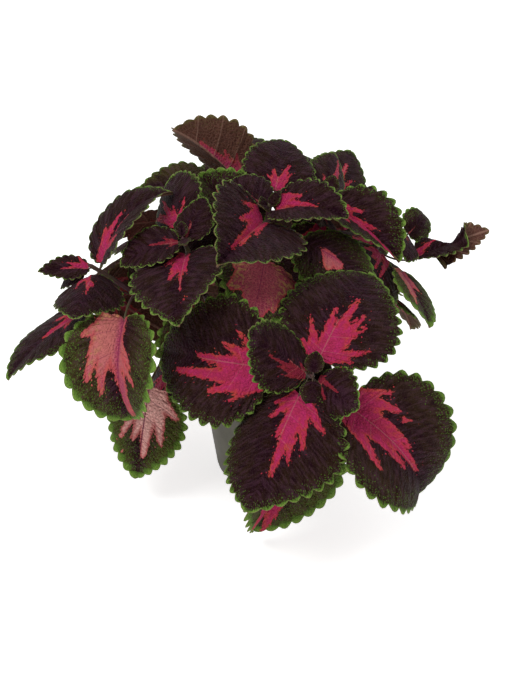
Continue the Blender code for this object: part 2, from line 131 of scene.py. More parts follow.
def two_strengths(tree, socket, lighting, seen):
    """Gives the socket one strength for what it lights and another for what the camera sees."""
    ray = tree.nodes.new("ShaderNodeLightPath")
    strength = tree.nodes.new("ShaderNodeMapRange")
    strength.inputs["To Min"].default_value = lighting
    strength.inputs["To Max"].default_value = seen
    tree.links.new(ray.outputs["Is Camera Ray"], strength.inputs["Value"])
    tree.links.new(strength.outputs[0], socket)


sky = bpy.data.worlds.new("light tent")
sky.use_nodes = True
tent = sky.node_tree.nodes["Background"]
tent.inputs["Color"].default_value = WHITE
two_strengths(sky.node_tree, tent.inputs["Strength"], SKY_STRENGTH, SKY_STRENGTH_SEEN)
scene.world = sky
scene.view_settings.view_transform = "Standard"
print("the sky lights with", SKY_STRENGTH, "and looks like", SKY_STRENGTH_SEEN)

# %% The floor
FLOOR_SIDE = 14
FLOOR_COLOUR = (0.92, 0.92, 0.91, 1)
FLOOR_GLOW = 0.3
FLOOR_GLOW_SEEN = 0.7

floor_mesh = bpy.data.meshes.new("floor")
half = FLOOR_SIDE / 2
corners = [(-half, -half, 0), (half, -half, 0), (half, half, 0), (-half, half, 0)]
floor_mesh.from_pydata(corners, [], [(0, 1, 2, 3)])
floor = bpy.data.objects.new("floor", floor_mesh)
scene.collection.objects.link(floor)
paper = bpy.data.materials.new("pale floor")
paper.use_nodes = True
surface = paper.node_tree.nodes["Principled BSDF"]
surface.inputs["Base Color"].default_value = FLOOR_COLOUR
surface.inputs["Roughness"].default_value = 0.9
surface.inputs["Emission Color"].default_value = WHITE
two_strengths(paper.node_tree, surface.inputs["Emission Strength"], FLOOR_GLOW, FLOOR_GLOW_SEEN)
floor_mesh.materials.append(paper)
print("the floor is", FLOOR_SIDE, "metres wide")

# %% [markdown]
# ## Where each leaf stands
# A coleus carries its leaves in opposite pairs, and each pair is turned a quarter round from the next. A
# shoot here is a stem that leans out of the soil, and every leaf says how far below the stem's tip it
# grows, which way it points, and how its blade bends and rolls. The table is the CAD's own, so the fine
# leaves lie where the solid ones do.

# %% A leaf and a shoot
@dataclass
class Leaf:
    """One leaf: its distance below the stem's tip, where it points, and the shape of its blade."""

    name: str
    drop: float
    heading: float
    rise: float
    length: float
    stalk: float = 20
    width: float = 0.88
    bend: float = 30
    fold: float = 0
    roll: float = 0
    stalk_way: tuple = None


@dataclass
class Shoot:
    """A leafy stem: where it stands in the soil, the point it bends towards, its tip, and its leaves."""

    name: str
    foot: tuple
    knee: tuple
    tip: tuple
    leaves: list = field(default_factory=list)


# %% The table of shoots and leaves
SHOOTS = [
    Shoot("front_right", foot=(10, -14), knee=(20, -72, 146), tip=(40, -140, 178), leaves=[
        Leaf("bud_up", 2, 75, 62, 19, stalk=3, width=0.9, bend=30, fold=15, roll=-30),
        Leaf("bud_down", 2, -90, -45, 23, stalk=5, width=0.95, bend=65),
        Leaf("second_left", 8, 202, 44, 72, stalk=6, width=0.9, bend=0, roll=16, fold=-15),
        Leaf("second_right", 8, -55, 0, 51, stalk=9, width=0.92, bend=15, roll=24, fold=-5),
        Leaf("third_up", 16, 55, 40, 112, stalk=19, width=0.98, bend=54, roll=-22),
        Leaf("third_down", 16, -118, -32, 113, stalk=20, width=0.99, bend=5, roll=40, fold=-10),
        Leaf("fourth_left", 36, 172, 5, 112, stalk=37, width=0.98, bend=60, roll=-9, fold=10),
        Leaf("fourth_right", 36, -26, -25, 120, stalk=51, width=1.04, bend=86, roll=-17, fold=22),
        Leaf("fifth_down", 70, -109, -66, 118, stalk=38, width=0.98, bend=42, roll=-32, fold=29),
        Leaf("fifth_up", 80, 68, 31, 87, stalk=85, width=0.9, bend=40, roll=20, fold=-6, stalk_way=(45, 60)),
    ]),
    Shoot("crown", foot=(0, 3), knee=(0, 30, 180), tip=(3, 5, 276), leaves=[
        Leaf("bud_left", 2, 240, 25, 18, stalk=2, bend=5, roll=-40, fold=20),
        Leaf("bud_right", 2, 10, 60, 16, stalk=2),
        Leaf("second_left", 8, 140, 25, 50, stalk=6, fold=30),
        Leaf("second_right", 8, -35, 25, 74, stalk=8, width=0.75, bend=60, roll=15, fold=30),
        Leaf("third_front", 18, -105, 10, 100, width=0.98, bend=35, roll=-30, fold=35),
        Leaf("third_back", 18, 75, 40, 75, stalk=32, width=0.95, bend=50, roll=15),
        Leaf("fourth_left", 45, 140, 35, 80, bend=20, roll=-10, fold=40),
        Leaf("fourth_right", 45, -30, -10, 90, stalk=40, bend=60, roll=10),
        Leaf("fifth_front", 60, -95, -10, 85, stalk=40, width=0.95, bend=25, roll=-25, fold=10),
        Leaf("fifth_back", 75, 75, -80, 95, stalk=35, bend=45),
    ]),
    Shoot("right_back", foot=(20, 20), knee=(35, 55, 175), tip=(60, 55, 270), leaves=[
        Leaf("bud", 2, 60, 50, 18, stalk=2),
        Leaf("second_back", 8, 75, 25, 65, stalk=4, width=0.8, bend=20, roll=30, fold=-10),
        Leaf("second_front", 8, -110, 10, 55, stalk=10, width=0.8, bend=35, roll=30),
        Leaf("third_front", 16, -35, -15, 87, stalk=7, width=0.9, bend=35, roll=20, fold=40),
        Leaf("third_back", 16, 115, 30, 95, stalk=10, bend=40),
        Leaf("fourth_back", 40, 70, 20, 90, stalk=45, bend=15, roll=20, fold=-10),
        Leaf("fourth_front", 40, -105, -45, 90, stalk=18, bend=80, roll=-10),
        Leaf("fifth_right", 75, -70, -25, 100, stalk=40, bend=50),
    ]),
    Shoot("left", foot=(-12, -8), knee=(-50, 0, 170), tip=(-73, -40, 262), leaves=[
        Leaf("bud_up", 2, 100, 50, 14, stalk=2, bend=10, fold=30),
        Leaf("bud_down", 2, -80, 10, 14, stalk=2),
        Leaf("second_left", 7, 190, -5, 58, stalk=6, width=0.8, bend=50, fold=15),
        Leaf("second_right", 7, 60, 50, 44, stalk=3, width=0.85, bend=25),
        Leaf("third_front", 18, -95, -5, 92, stalk=11, width=0.98, roll=5, fold=20),
        Leaf("third_back", 18, 105, 25, 70, stalk=31, width=0.85, roll=-30),
        Leaf("fourth_left", 42, 150, -45, 75, stalk=30, bend=35, roll=-60, fold=-10),
        Leaf("fourth_right", 42, 10, -40, 85, stalk=25, bend=40),
        Leaf("fifth_front", 75, -85, -45, 95, stalk=25, bend=40, roll=-15),
        Leaf("fifth_back", 75, 95, -40, 95, stalk=30, bend=45),
    ]),
    Shoot("far_left", foot=(-24, 8), knee=(-75, 5, 160), tip=(-162, -15, 225), leaves=[
        Leaf("second_left", 5, 190, 5, 46, stalk=4, width=0.6, bend=15, roll=-20, fold=20),
        Leaf("second_front", 5, -170, -15, 30, stalk=8, width=0.8, bend=55, roll=-5),
        Leaf("third_front", 14, -100, 8, 76, stalk=10, width=0.92, bend=38, roll=-52, fold=-18),
        Leaf("third_back", 14, 35, 65, 98, stalk=8, width=0.78, bend=72, roll=4, fold=20),
        Leaf("fourth_left", 38, -150, -20, 100, stalk=37, width=0.8, bend=28, roll=-5, fold=8),
        Leaf("fourth_back", 38, 50, -55, 90, bend=50),
        Leaf("fifth_front", 60, -102, -38, 97, stalk=75, width=1.02, bend=85, roll=-28, fold=33,
             stalk_way=(-95, 10)),
        Leaf("fifth_back", 60, 120, -35, 100, stalk=35, bend=40),
    ]),
    Shoot("low_left", foot=(-18, -22), knee=(-52, -30, 142), tip=(-98, -52, 150), leaves=[
        Leaf("second_back", 10, 60, 30, 55, stalk=8),
        Leaf("second_front", 10, -120, -70, 88, stalk=35, width=0.9, bend=10, roll=-45),
        Leaf("third_left", 35, 165, -50, 80, bend=40),
    ]),
    Shoot("right", foot=(28, 2), knee=(62, 42, 150), tip=(124, 74, 226), leaves=[
        Leaf("second_back", 6, 85, 45, 28, stalk=4, bend=35, roll=-30),
        Leaf("second_front", 6, -75, -5, 48, stalk=17, bend=45),
        Leaf("curled", 8, 33, 30, 42, stalk=32, width=0.85, bend=80, roll=50),
        Leaf("third_right", 28, 15, 18, 81, stalk=41, width=0.5, bend=8, roll=30, fold=26),
        Leaf("third_left", 28, 200, 25, 47, stalk=8, roll=-15),
        Leaf("fourth_front", 40, -95, -5, 80, stalk=25, bend=35, roll=-10),
        Leaf("fourth_back", 40, 100, -60, 80, stalk=6, bend=45, roll=35),
        Leaf("fifth_front", 50, -60, -25, 66, stalk=42, bend=20, roll=10, fold=10),
        Leaf("fifth_back", 70, 35, -35, 85, stalk=30, bend=40),
    ]),
    Shoot("back_left", foot=(-3, 36), knee=(-5, 75, 175), tip=(-25, 110, 272), leaves=[
        Leaf("bud", 2, 90, 60, 20, stalk=2),
        Leaf("second_right", 7, 5, 10, 60, stalk=8, roll=20),
        Leaf("second_left", 12, 190, 50, 86, stalk=8, width=0.98, roll=20, fold=40),
        Leaf("third_back", 20, 95, 25, 100, stalk=15, bend=50),
        Leaf("third_front", 20, -95, -10, 70, stalk=15, bend=40),
        Leaf("fourth_left", 40, 170, 22, 75, stalk=37, width=0.95, bend=47, roll=-28, fold=30),
        Leaf("fourth_right", 40, -5, -10, 95, stalk=25, bend=60, roll=15),
        Leaf("fifth_back", 75, 75, -55, 100, stalk=30, bend=95, roll=-15),
    ]),
    Shoot("back_right", foot=(20, 34), knee=(36, 54, 172), tip=(95, 140, 205), leaves=[
        Leaf("bud", 2, 50, 50, 20, stalk=2),
        Leaf("second_left", 8, 155, 30, 60, stalk=12, roll=-5),
        Leaf("second_right", 8, -30, 5, 60, stalk=8, roll=10),
        Leaf("third_back", 20, 60, 10, 105, stalk=18, bend=45),
        Leaf("third_front", 20, -165, -35, 85, stalk=8, bend=0),
        Leaf("fourth_left", 42, 140, -15, 105, stalk=30, bend=45),
        Leaf("fourth_right", 42, -20, -20, 100, stalk=30, bend=45, roll=20),
        Leaf("fifth_back", 75, 55, -15, 100, stalk=50, bend=50, roll=-5),
    ]),
    Shoot("far_back", foot=(-16, 24), knee=(-45, 58, 165), tip=(-95, 125, 215), leaves=[
        Leaf("bud", 2, 130, 50, 20, stalk=2),
        Leaf("second_left", 8, -160, 10, 60, stalk=8),
        Leaf("second_right", 8, 25, 15, 60, stalk=8, bend=25),
        Leaf("third_back", 20, 125, -10, 110, stalk=18, bend=45),
        Leaf("third_front", 20, -70, 10, 85, stalk=18, bend=45),
        Leaf("fourth_left", 42, -170, -15, 100, stalk=30, bend=40),
        Leaf("fourth_right", 42, 35, -15, 100, stalk=30, bend=40),
        Leaf("fifth_back", 75, 110, -25, 100, stalk=35, bend=40),
    ]),
]
print(len(SHOOTS), "shoots,", sum(len(shoot.leaves) for shoot in SHOOTS), "leaves")

# %% [markdown]
# A few helpers place everything. A direction is a heading round the pot and a rise above level. A stem is a
# smooth curve from its foot to its tip, pulled towards its knee, and a leaf's node is found by measuring
# along that curve from the tip down. A Blender curve object could draw the same stems, but the leaves need
# to know where their nodes are, so the curve is worked out here.


# %% Directions and curves
def unit(vector):
    vector = np.asarray(vector, float)
    return vector / np.linalg.norm(vector)


def direction(heading, rise):
    turn, lift = math.radians(heading), math.radians(rise)
    level = math.cos(lift)
    return np.array([level * math.cos(turn), level * math.sin(turn), math.sin(lift)])


def turned(vector, axis, angle):
    """The vector turned about a unit axis by an angle in degrees."""
    cos, sin = math.cos(math.radians(angle)), math.sin(math.radians(angle))
    return vector * cos + np.cross(axis, vector) * sin + axis * (axis @ vector) * (1 - cos)


def curve_point(start, middle, end, t):
    t = np.asarray(t, float)[..., None]
    return (1 - t) ** 2 * np.asarray(start) + 2 * t * (1 - t) * np.asarray(middle) + t**2 * np.asarray(end)


print("straight up is", direction(0, 90).round(3))

# %% Stems and their nodes
SOIL_TOP = 92
HOLE_DEPTH = 34
STEM_END_ROOM = 1.0
NODE_SEARCH_STEPS = 200


def stem_curve(shoot):
    """The stem's centre line, from the bottom of its hole in the soil to its tip."""
    foot = np.array([*shoot.foot, SOIL_TOP - HOLE_DEPTH + STEM_END_ROOM])
    return foot, np.array(shoot.knee, float), np.array(shoot.tip, float)


def stem_node(shoot, drop):
    """The point on the stem this far below its tip, and the stem's direction there."""
    line = curve_point(*stem_curve(shoot), np.linspace(1, 0, NODE_SEARCH_STEPS))
    steps = np.linalg.norm(np.diff(line, axis=0), axis=1)
    index = min(int(np.searchsorted(np.cumsum(steps), drop)), len(steps) - 1)
    return line[index], unit(line[index] - line[index + 1])


print("the highest stem tip is at", max(shoot.tip[2] for shoot in SHOOTS), "mm")

# %% [markdown]
# A leaf is drawn flat first, x along its midrib and y across it. `Blade.place` then bends it down along its
# length, raises its halves at the fold, arches them back, and moves the result to its node on the stem. Any
# detail that is drawn on the flat leaf so follows the bent one. These values are the CAD's own.

# %% The bent blade
STALK_LIFT = 0.4
STOUTNESS_OF_SMALLEST = 0.55
LENGTH_OF_STOUTEST = 220
ARCH = 12
BEND_STEPS = 24
BEND_POWER = 1.5


class Blade:
    """Maps the flat leaf, x along the midrib and y across it, to its place on the plant."""

    def __init__(self, shoot, leaf):
        self.leaf = leaf
        self.node, axis = stem_node(shoot, leaf.drop)
        self.forward = direction(leaf.heading, leaf.rise)
        outward = unit(self.forward - (axis @ self.forward) * axis)
        stalk_way = direction(*leaf.stalk_way) if leaf.stalk_way else unit(outward + STALK_LIFT * axis)
        self.base = self.node + leaf.stalk * stalk_way
        upward = axis - (axis @ self.forward) * self.forward
        self.upward = turned(unit(upward), self.forward, leaf.roll)
        self.stoutness = min(1, STOUTNESS_OF_SMALLEST + leaf.length / LENGTH_OF_STOUTEST)

    def place(self, x, y, lift=0.0):
        """Points of the bent blade, lifted off its middle surface by this much."""
        leaf = self.leaf
        x, y, lift = np.broadcast_arrays(np.asarray(x, float), np.asarray(y, float), lift)
        steps = (np.arange(BEND_STEPS) + 0.5) / BEND_STEPS

        # Along the midrib the blade turns down more and more.
        along = np.clip(x / leaf.length, 0, 1)
        pitch = -math.radians(leaf.bend) * (along[..., None] * steps) ** BEND_POWER
        ahead = leaf.length * (np.cos(pitch).mean(-1) * along + np.minimum(x / leaf.length, 0))
        above = leaf.length * np.sin(pitch).mean(-1) * along
        middle = self.base + ahead[..., None] * self.forward + above[..., None] * self.upward
        here = (-math.radians(leaf.bend) * along**BEND_POWER)[..., None]
        normal = np.cos(here) * self.upward - np.sin(here) * self.forward
        side = np.cross(self.upward, self.forward)

        # Across it each half stands up at the fold and arches back towards the margin.
        out = np.abs(y) / (leaf.width * leaf.length / 2)
        fold, arch = math.radians(leaf.fold), math.radians(ARCH)
        tilt = fold - arch * out[..., None] * steps * 2
        sideways = np.cos(tilt).mean(-1) * y
        raised = np.sin(tilt).mean(-1) * np.abs(y)
        surface = middle + sideways[..., None] * side + raised[..., None] * normal
        edge_tilt = (np.sign(y) * (fold - arch * out * 2))[..., None]
        face = np.cos(edge_tilt) * normal - np.sin(edge_tilt) * side
        return surface + lift[..., None] * face


tip_heights = [Blade(shoot, leaf).place(leaf.length, 0)[2] for shoot in SHOOTS for leaf in shoot.leaves]
print("the leaf tips are between", round(min(tip_heights)), "and", round(max(tip_heights)), "mm high")

# %% The outline of a blade
WIDEST_AT = 0.38
BASE_FULLNESS = 0.55
BASE_NOTCH = 0.3
NOTCH_REACH = 0.08


def smooth_margin(t):
    """Half the toothless outline of a blade one long and one wide, from the stalk at 0 to the tip at 1."""
    t = np.asarray(t, float)
    x = t - BASE_NOTCH * np.sqrt(t) * np.exp(-t / NOTCH_REACH)
    tip_sharpness = BASE_FULLNESS * (1 - WIDEST_AT) / WIDEST_AT
    y = (t / WIDEST_AT) ** BASE_FULLNESS * ((1 - t) / (1 - WIDEST_AT)) ** tip_sharpness
    return x, y


print("half width at a tenth of the way:", round(float(smooth_margin(0.1)[1]), 2))

# %% [markdown]
# ## What each leaf shows
# Every coleus leaf is painted by its plant in the same order: a pink heart with ragged lobes that run out
# towards the margin, a nearly black maroon round it, and a lime-green edge on the teeth. Young leaves have a
# narrow red streak, grown ones a wide magenta heart, and old low leaves fade to salmon with olive outer
# halves. Here a heart is a handful of tapered strokes on the flat leaf. Each stroke gives the point where it
# starts, the point where it ends, and its half width at the start, all in percent of the leaf's length: first
# along the midrib, then across it, positive to the left. `salmon` and `green` say how faded and how green the
# leaf is. `curl` gives the share of the length from which the tip is turned over, and by how many degrees.


# %% How a leaf is marked
@dataclass
class Look:
    """How a leaf is marked. A stroke is (start along, start across, end along, end across, half width)."""

    strokes: tuple = ()
    salmon: float = 0.1
    green: float = 0.2
    curl: tuple = (1, 0)


print("the plainest look is", Look())

# %% The marks of each leaf
LOOKS = {
    "front_right.second_left": Look((
        (0, 5, 58, 9, 4), (5, 10, 30, 20, 2), (12, 9, 40, 14, 3), (2, 4, 30, 0, 3),
        (0, 0, 16, -7, 3)), 0, 0.15),
    "front_right.second_right": Look(((0, 8, 48, 4, 5), (0, 12, 12, 17, 3), (5, 0, 30, -18, 5)), 0, 0.15),
    "front_right.third_up": Look((
        (0, -2, 58, -6, 6), (3, 0, 42, 6, 6), (3, 6, 28, 20, 4), (0, 6, 7, 17, 5), (10, -5, 48, -17, 5),
        (6, -7, 38, -21, 4), (1, -6, 22, -32, 4), (0, -4, 7, -24, 3))),
    "front_right.third_down": Look((
        (0, 3, 68, 5, 7), (3, 5, 22, 28, 6), (8, 7, 40, 19, 5), (28, 6, 54, 13, 4), (5, 2, 38, -3, 5),
        (2, 0, 22, -15, 6), (0, 0, 10, -17, 5))),
    "front_right.fourth_left": Look((
        (4, 10, 72, 12, 8), (8, 2, 55, -2, 8), (8, -4, 35, -14, 6), (10, -10, 26, -25, 3),
        (10, 14, 42, 24, 6), (6, 14, 24, 29, 4))),
    "front_right.fourth_right": Look((
        (2, -2, 68, 1, 8), (8, 4, 50, 7, 6), (3, 10, 29, 20, 6), (0, 12, 18, 28, 4), (4, -8, 55, -10, 7),
        (4, -12, 40, -29, 6), (34, 17, 40, 21, 2)), 0.2, 0.35),
    "front_right.fifth_down": Look((
        (0, 0, 80, -2, 10), (10, 4, 45, 25, 5), (10, -4, 45, -25, 5), (40, -4, 88, -13, 9),
        (50, 2, 95, 6, 8)), 0.2, 0.9),
    "front_right.fifth_up": Look((
        (4, 0, 44, 2, 5), (8, 2, 26, 20, 4), (8, -2, 28, -18, 4), (2, 2, 10, 18, 3),
        (20, 0, 38, 10, 3)), 0.4, 0.45),
    "crown.second_left": Look(((3, 0, 36, 2, 3), (6, 1, 20, 10, 2)), 0, 0.05),
    "crown.second_right": Look(((6, 14, 36, 14, 8), (4, 8, 60, 1, 5), (4, 3, 30, -3, 3)), 0.1, 0.05),
    "crown.third_front": Look(
        ((0, -4, 74, -3, 7), (2, 1, 42, 7, 4), (0, -8, 45, -16, 7), (0, -14, 27, -27, 4), (45, 0, 66, 3, 3)),
        0.1, 0.06),
    "crown.third_back": Look((
        (2, 0, 28, 7, 7), (4, -2, 44, -11, 6), (8, -5, 30, -15, 4), (12, 4, 22, 16, 2)), 0.1, 0.08),
    "crown.fourth_right": Look(((38, -12, 25, 0, 6), (45, -6, 27, 3, 6), (36, -6, 22, 2, 5)), 0.5, 0.5),
    "crown.fifth_front": Look(
        ((0, 0, 72, 0, 48), (30, -10, 60, -30, 20), (40, 10, 66, 18, 16)), 0.4, 0.5),
    "right_back.second_back": Look((
        (10, 2, 60, -10, 9), (50, -8, 86, -9, 5), (10, 4, 34, 14, 4)), 0.25, 0.12),
    "right_back.third_front": Look(
        ((2, -4, 92, -16, 13), (6, 2, 36, 13, 5), (34, 0, 58, 6, 4), (10, -12, 36, -28, 6)), 0.14, 0.25),
    "right_back.fourth_back": Look((
        (0, 0, 68, 0, 6), (5, 3, 32, 22, 5), (5, -3, 30, -22, 5), (20, 2, 50, 14, 4),
        (20, -2, 50, -13, 4)), 0.2, 0.12),
    "left.second_left": Look(((2, 1, 45, -6, 4), (2, 2, 15, 10, 4), (6, -3, 22, -12, 3)), 0, 0.08),
    "left.second_right": Look(((4, 0, 40, 1, 4), (10, 1, 30, 12, 3)), 0, 0.08),
    "left.third_front": Look(
        ((0, -3, 58, 1, 4), (4, 0, 36, 5, 6), (8, -4, 44, -10, 6), (3, -4, 20, -18, 4), (73, 7, 76, 7, 1)),
        0.1, 0.12),
    "left.third_back": Look((
        (2, 8, 45, 44, 5), (4, 8, 62, 22, 6), (4, 4, 30, 3, 4), (8, 12, 40, 32, 6),
        (4, -2, 30, -18, 4)), 0.1, 0.1),
    "left.fourth_left": Look(((0, 0, 60, 2, 5), (5, 3, 30, 20, 4), (5, -3, 30, -20, 4))),
    "far_left.second_left": Look((
        (6, -6, 30, -8, 8), (10, -4, 55, -1, 4), (8, -10, 20, -27, 4), (20, -10, 52, -15, 3)), 0.1, 0.08),
    "far_left.third_front": Look(
        ((0, -13, 38, 2, 5), (28, 0, 58, 4, 3), (0, -18, 42, -14, 5), (28, 1, 39, 8, 2)), 0.1, 0.08),
    "far_left.third_back": Look(
        ((6, 4, 48, 8, 6), (14, 6, 30, 15, 4), (6, 0, 32, -24, 7), (20, -4, 52, -8, 4)), 0.1, 0.1),
    "far_left.fourth_left": Look(((8, 2, 48, -2, 7), (12, 0, 30, 12, 5), (10, -4, 30, -14, 5))),
    "far_left.fifth_front": Look((
        (0, -6, 88, 8, 10), (22, 2, 46, 22, 5), (38, 5, 58, 25, 5), (55, 7, 86, 13, 6), (2, -8, 44, -12, 13),
        (20, -12, 66, -17, 7), (4, -12, 52, -28, 10), (2, -10, 20, -33, 8), (0, -4, 14, 6, 3)), 0.62, 0.62),
    "low_left.second_front": Look((
        (4, 8, 27, 34, 10), (4, 10, 56, 21, 11), (6, 4, 72, 4, 12), (20, 0, 57, -10, 9), (10, -6, 58, -25, 9),
        (5, -6, 30, -28, 9), (74, -20, 76, -20, 2)), 1.0, 0.75),
    "right.third_right": Look(((2, 5, 34, 13, 4), (0, 0, 14, 3, 4)), 0.1, 0.05, curl=(0.42, -145)),
    "right.fourth_front": Look((
        (0, 12, 48, 3, 5), (0, -4, 16, -24, 8), (0, -2, 24, -12, 8), (0, 0, 40, -6, 5)), 0.2, 0.35),
    "right.fifth_front": Look(
        ((0, -8, 46, -6, 17), (20, -10, 64, -17, 10), (8, -2, 36, 11, 9)), 0.5, 0.85),
    "back_left.fourth_left": Look((), 1.0, 0.1),
    "back_left.second_left": Look(
        ((0, 2, 62, 3, 8), (12, 4, 32, 14, 5), (4, 6, 20, 20, 6), (4, -2, 18, -10, 4)), 0.2, 0.3),
}
print(len(LOOKS), "leaves have marks of their own")

# %% [markdown]
# The other leaves are marked by the place of their pair. From the second pair downwards the leaves are older,
# so their hearts are wider and more faded, and their edges are greener.

# %% The marks of the other leaves
PAIR_LOOKS = {
    "bud": Look((), 0, 0.3),
    "second": Look(((2, 0, 48, 2, 3), (4, 1, 22, 14, 3), (4, -1, 20, -12, 3), (16, 1, 36, 8, 2)), 0, 0.06),
    "curled": Look(((2, 0, 30, 2, 2),), 0, 0.5),
    "third": Look((
        (0, 0, 62, 2, 6), (3, 2, 24, 24, 5), (8, 2, 40, 16, 5), (3, -2, 24, -22, 5), (10, -2, 42, -14, 4),
        (28, 0, 54, -8, 3)), 0.1, 0.14),
    "fourth": Look((
        (0, 0, 66, -2, 7), (3, 2, 22, 26, 5), (8, 3, 44, 20, 5), (3, -2, 26, -26, 5), (10, -3, 46, -16, 5),
        (30, 1, 58, 9, 4)), 0.2, 0.32),
    "fifth": Look((
        (0, 0, 76, 2, 9), (3, 3, 28, 32, 8), (10, 4, 54, 24, 7), (3, -3, 28, -32, 8), (10, -4, 54, -22, 7),
        (34, 2, 68, 12, 5)), 0.6, 0.65),
}


def look_of(shoot, leaf):
    """The leaf's own look, or that of its pair."""
    return LOOKS.get(f"{shoot.name}.{leaf.name}") or PAIR_LOOKS[leaf.name.split("_")[0]]


faded = [leaf.name for shoot in SHOOTS for leaf in shoot.leaves if look_of(shoot, leaf).salmon > 0.5]
print(len(faded), "leaves have faded hearts")

# %% [markdown]
# ## One fine blade
# A blade could be a flat cut-out with a bump map, but the photograph's leaves are quilted: the side veins
# lie in grooves and the panels between them swell. So the blade is a grid. Its rows run from the midrib
# out along the side veins, its columns from the stalk to the tip, and the last column follows the scalloped
# teeth. A vein is then exactly a row of points, which keeps its groove and its painted line crisp. The top
# and the underside are two such grids that meet at the margin, so each blade is closed.

# %% Teeth
FINE_VEIN_SWEEP = 2.1
FINE_TEETH = ((108, 15), (88, 13), (70, 12), (45, 9), (25, 7), (0, 5))
TOOTH_STEPS = (0.0, 0.09, 0.24, 0.42, 0.6, 0.78, 0.92)
TOOTH_LEAN = 1.25
TOOTH_ROUNDNESS = 0.85
TOOTH_BASE = 0.4
FINE_TOOTH_HEIGHT = 0.052
TOOTH_UNEVENNESS = 0.25
BUD_LENGTH = 25
BUD_TOOTH_SHARE = 0.4
MARGIN_DRIFT = 0.008
HALF_UNEVENNESS = 0.03


def tooth_count(leaf):
    """The teeth along one half: more on a longer leaf."""
    return next(count for length, count in FINE_TEETH if leaf.length >= length)


class Outline:
    """The rows of a fine blade: where each starts on the midrib, and where it ends on either margin."""

    def __init__(self, leaf, rng):
        teeth = tooth_count(leaf)
        steps = np.array(TOOTH_STEPS)
        stops = np.append((np.arange(teeth)[:, None] + steps).ravel() / teeth, 1.0)
        phase = np.append(np.tile(steps, teeth), 0.0)

        # The rows are spread along the margin, so that every tooth is equally wide.
        dense = np.linspace(0, 1, 600) ** 2
        x, y = smooth_margin(dense)
        half = leaf.width * leaf.length / 2
        run = np.concatenate([[0], np.cumsum(np.hypot(np.diff(x * leaf.length), np.diff(y * half)))])
        self.t = np.interp(stops * run[-1], run, dense)
        self.rib = leaf.length * self.t**FINE_VEIN_SWEEP
        self.crest = np.sin(np.pi * phase**TOOTH_LEAN) ** TOOTH_ROUNDNESS
        crest_row = int(np.argmax(self.crest[: len(steps)]))
        self.veins = [tooth * len(steps) + crest_row for tooth in range(1, teeth - 2, 2)]

        # Teeth shrink towards the stalk and the tip, and no two are quite the same.
        height = FINE_TOOTH_HEIGHT * leaf.length * np.sin(np.pi * np.clip(stops, 0.05, 0.97)) ** 0.5
        if leaf.length < BUD_LENGTH:
            height = BUD_TOOTH_SHARE * height
        self.smooth = {}
        self.margins = {}
        for side in (1, -1):
            drift = rng.normal(0, MARGIN_DRIFT)
            mx, my = smooth_margin(np.clip(self.t + drift * np.sin(np.pi * self.t), 0, 1))
            mx, my = mx * leaf.length, my * half * rng.uniform(1 - HALF_UNEVENNESS, 1 + HALF_UNEVENNESS)
            self.smooth[side] = mx, my
            dx, dy = np.gradient(mx), np.gradient(my)
            size = np.maximum(np.hypot(dx, dy), 1e-6)
            uneven = np.repeat(rng.uniform(1 - TOOTH_UNEVENNESS, 1 + TOOTH_UNEVENNESS, teeth), len(steps))
            offset = (self.crest - TOOTH_BASE) * height * np.append(uneven, 1)
            offset[[0, -1]] = 0
            mx, my = mx - offset * dy / size, my + offset * dx / size
            mx[0] = my[0] = my[-1] = 0
            mx[-1] = leaf.length
            self.margins[side] = mx, my


counts = [tooth_count(leaf) for shoot in SHOOTS for leaf in shoot.leaves]
print("teeth on a half blade: from", min(counts), "to", max(counts))

# %% [markdown]
# Three helpers come before the relief. `ripple` is a smooth random height. `nearest_row` tells how far each
# point is from a side vein. `heart_depth` joins the strokes of a leaf into one shape with soft inner
# corners, and gives how deep inside it each point lies, which the finish later turns into colour.

# %% Ripples, veins and hearts
STROKE_TAPER = 0.72
STROKE_BLEND = 1.3
FAR_FROM_VEINS = 99.0


def ripple(u, v, rng, size, count=6):
    """A smooth random height, from a few waves that cross at random angles."""
    total = np.zeros_like(u)
    for _ in range(count):
        angle = rng.uniform(0, 2 * math.pi)
        length = size * rng.uniform(0.7, 1.5)
        phase = rng.uniform(0, 2 * math.pi)
        total += np.sin(2 * math.pi * (u * math.cos(angle) + v * math.sin(angle)) / length + phase)
    return total / math.sqrt(count)


def nearest_row(x, y, rows):
    """How far each point of a half blade is from the nearest of these rows, in its own column."""
    gaps = [np.hypot(x - x[row], y - y[row]) for row in rows]
    return np.min(gaps, axis=0) if gaps else np.full_like(x, FAR_FROM_VEINS)


def heart_depth(strokes, x, y):
    """How deep each point lies inside the union of the strokes, in percent of the leaf's length."""
    total = np.full_like(x, 1e-9)
    for start_x, start_y, end_x, end_y, half_width in strokes:
        along_x, along_y = end_x - start_x, end_y - start_y
        share = ((x - start_x) * along_x + (y - start_y) * along_y) / (along_x**2 + along_y**2)
        share = np.clip(share, 0, 1)
        gap = np.hypot(x - start_x - share * along_x, y - start_y - share * along_y)
        total += np.exp((half_width * (1 - STROKE_TAPER * share) - gap) / STROKE_BLEND)
    return STROKE_BLEND * np.log(total)


print("the most strokes in one heart:", max(len(look.strokes) for look in LOOKS.values()))

# %% [markdown]
# Some old leaves roll over at the tip and show their underside. The flat blade is twisted about its midrib
# there, over a short reach. The line where the twist starts slants across the blade, so one edge turns over
# first, as when a sheet of paper is rolled from its corner.

# %% A rolled tip
CURL_REACH = 0.20
CURL_SLANT = -0.8


def curled(x, y, lift, leaf, look):
    """The flat blade's y and lift after its tip is turned over about the midrib."""
    start, degrees = look.curl
    share = np.clip(((x - CURL_SLANT * y) / leaf.length - start) / CURL_REACH, 0, 1)
    angle = math.radians(degrees) * share**2 * (3 - 2 * share)
    return y * np.cos(angle) - lift * np.sin(angle), y * np.sin(angle) + lift * np.cos(angle)


print("rolled tips:", [name for name, look in LOOKS.items() if look.curl != Look.curl])

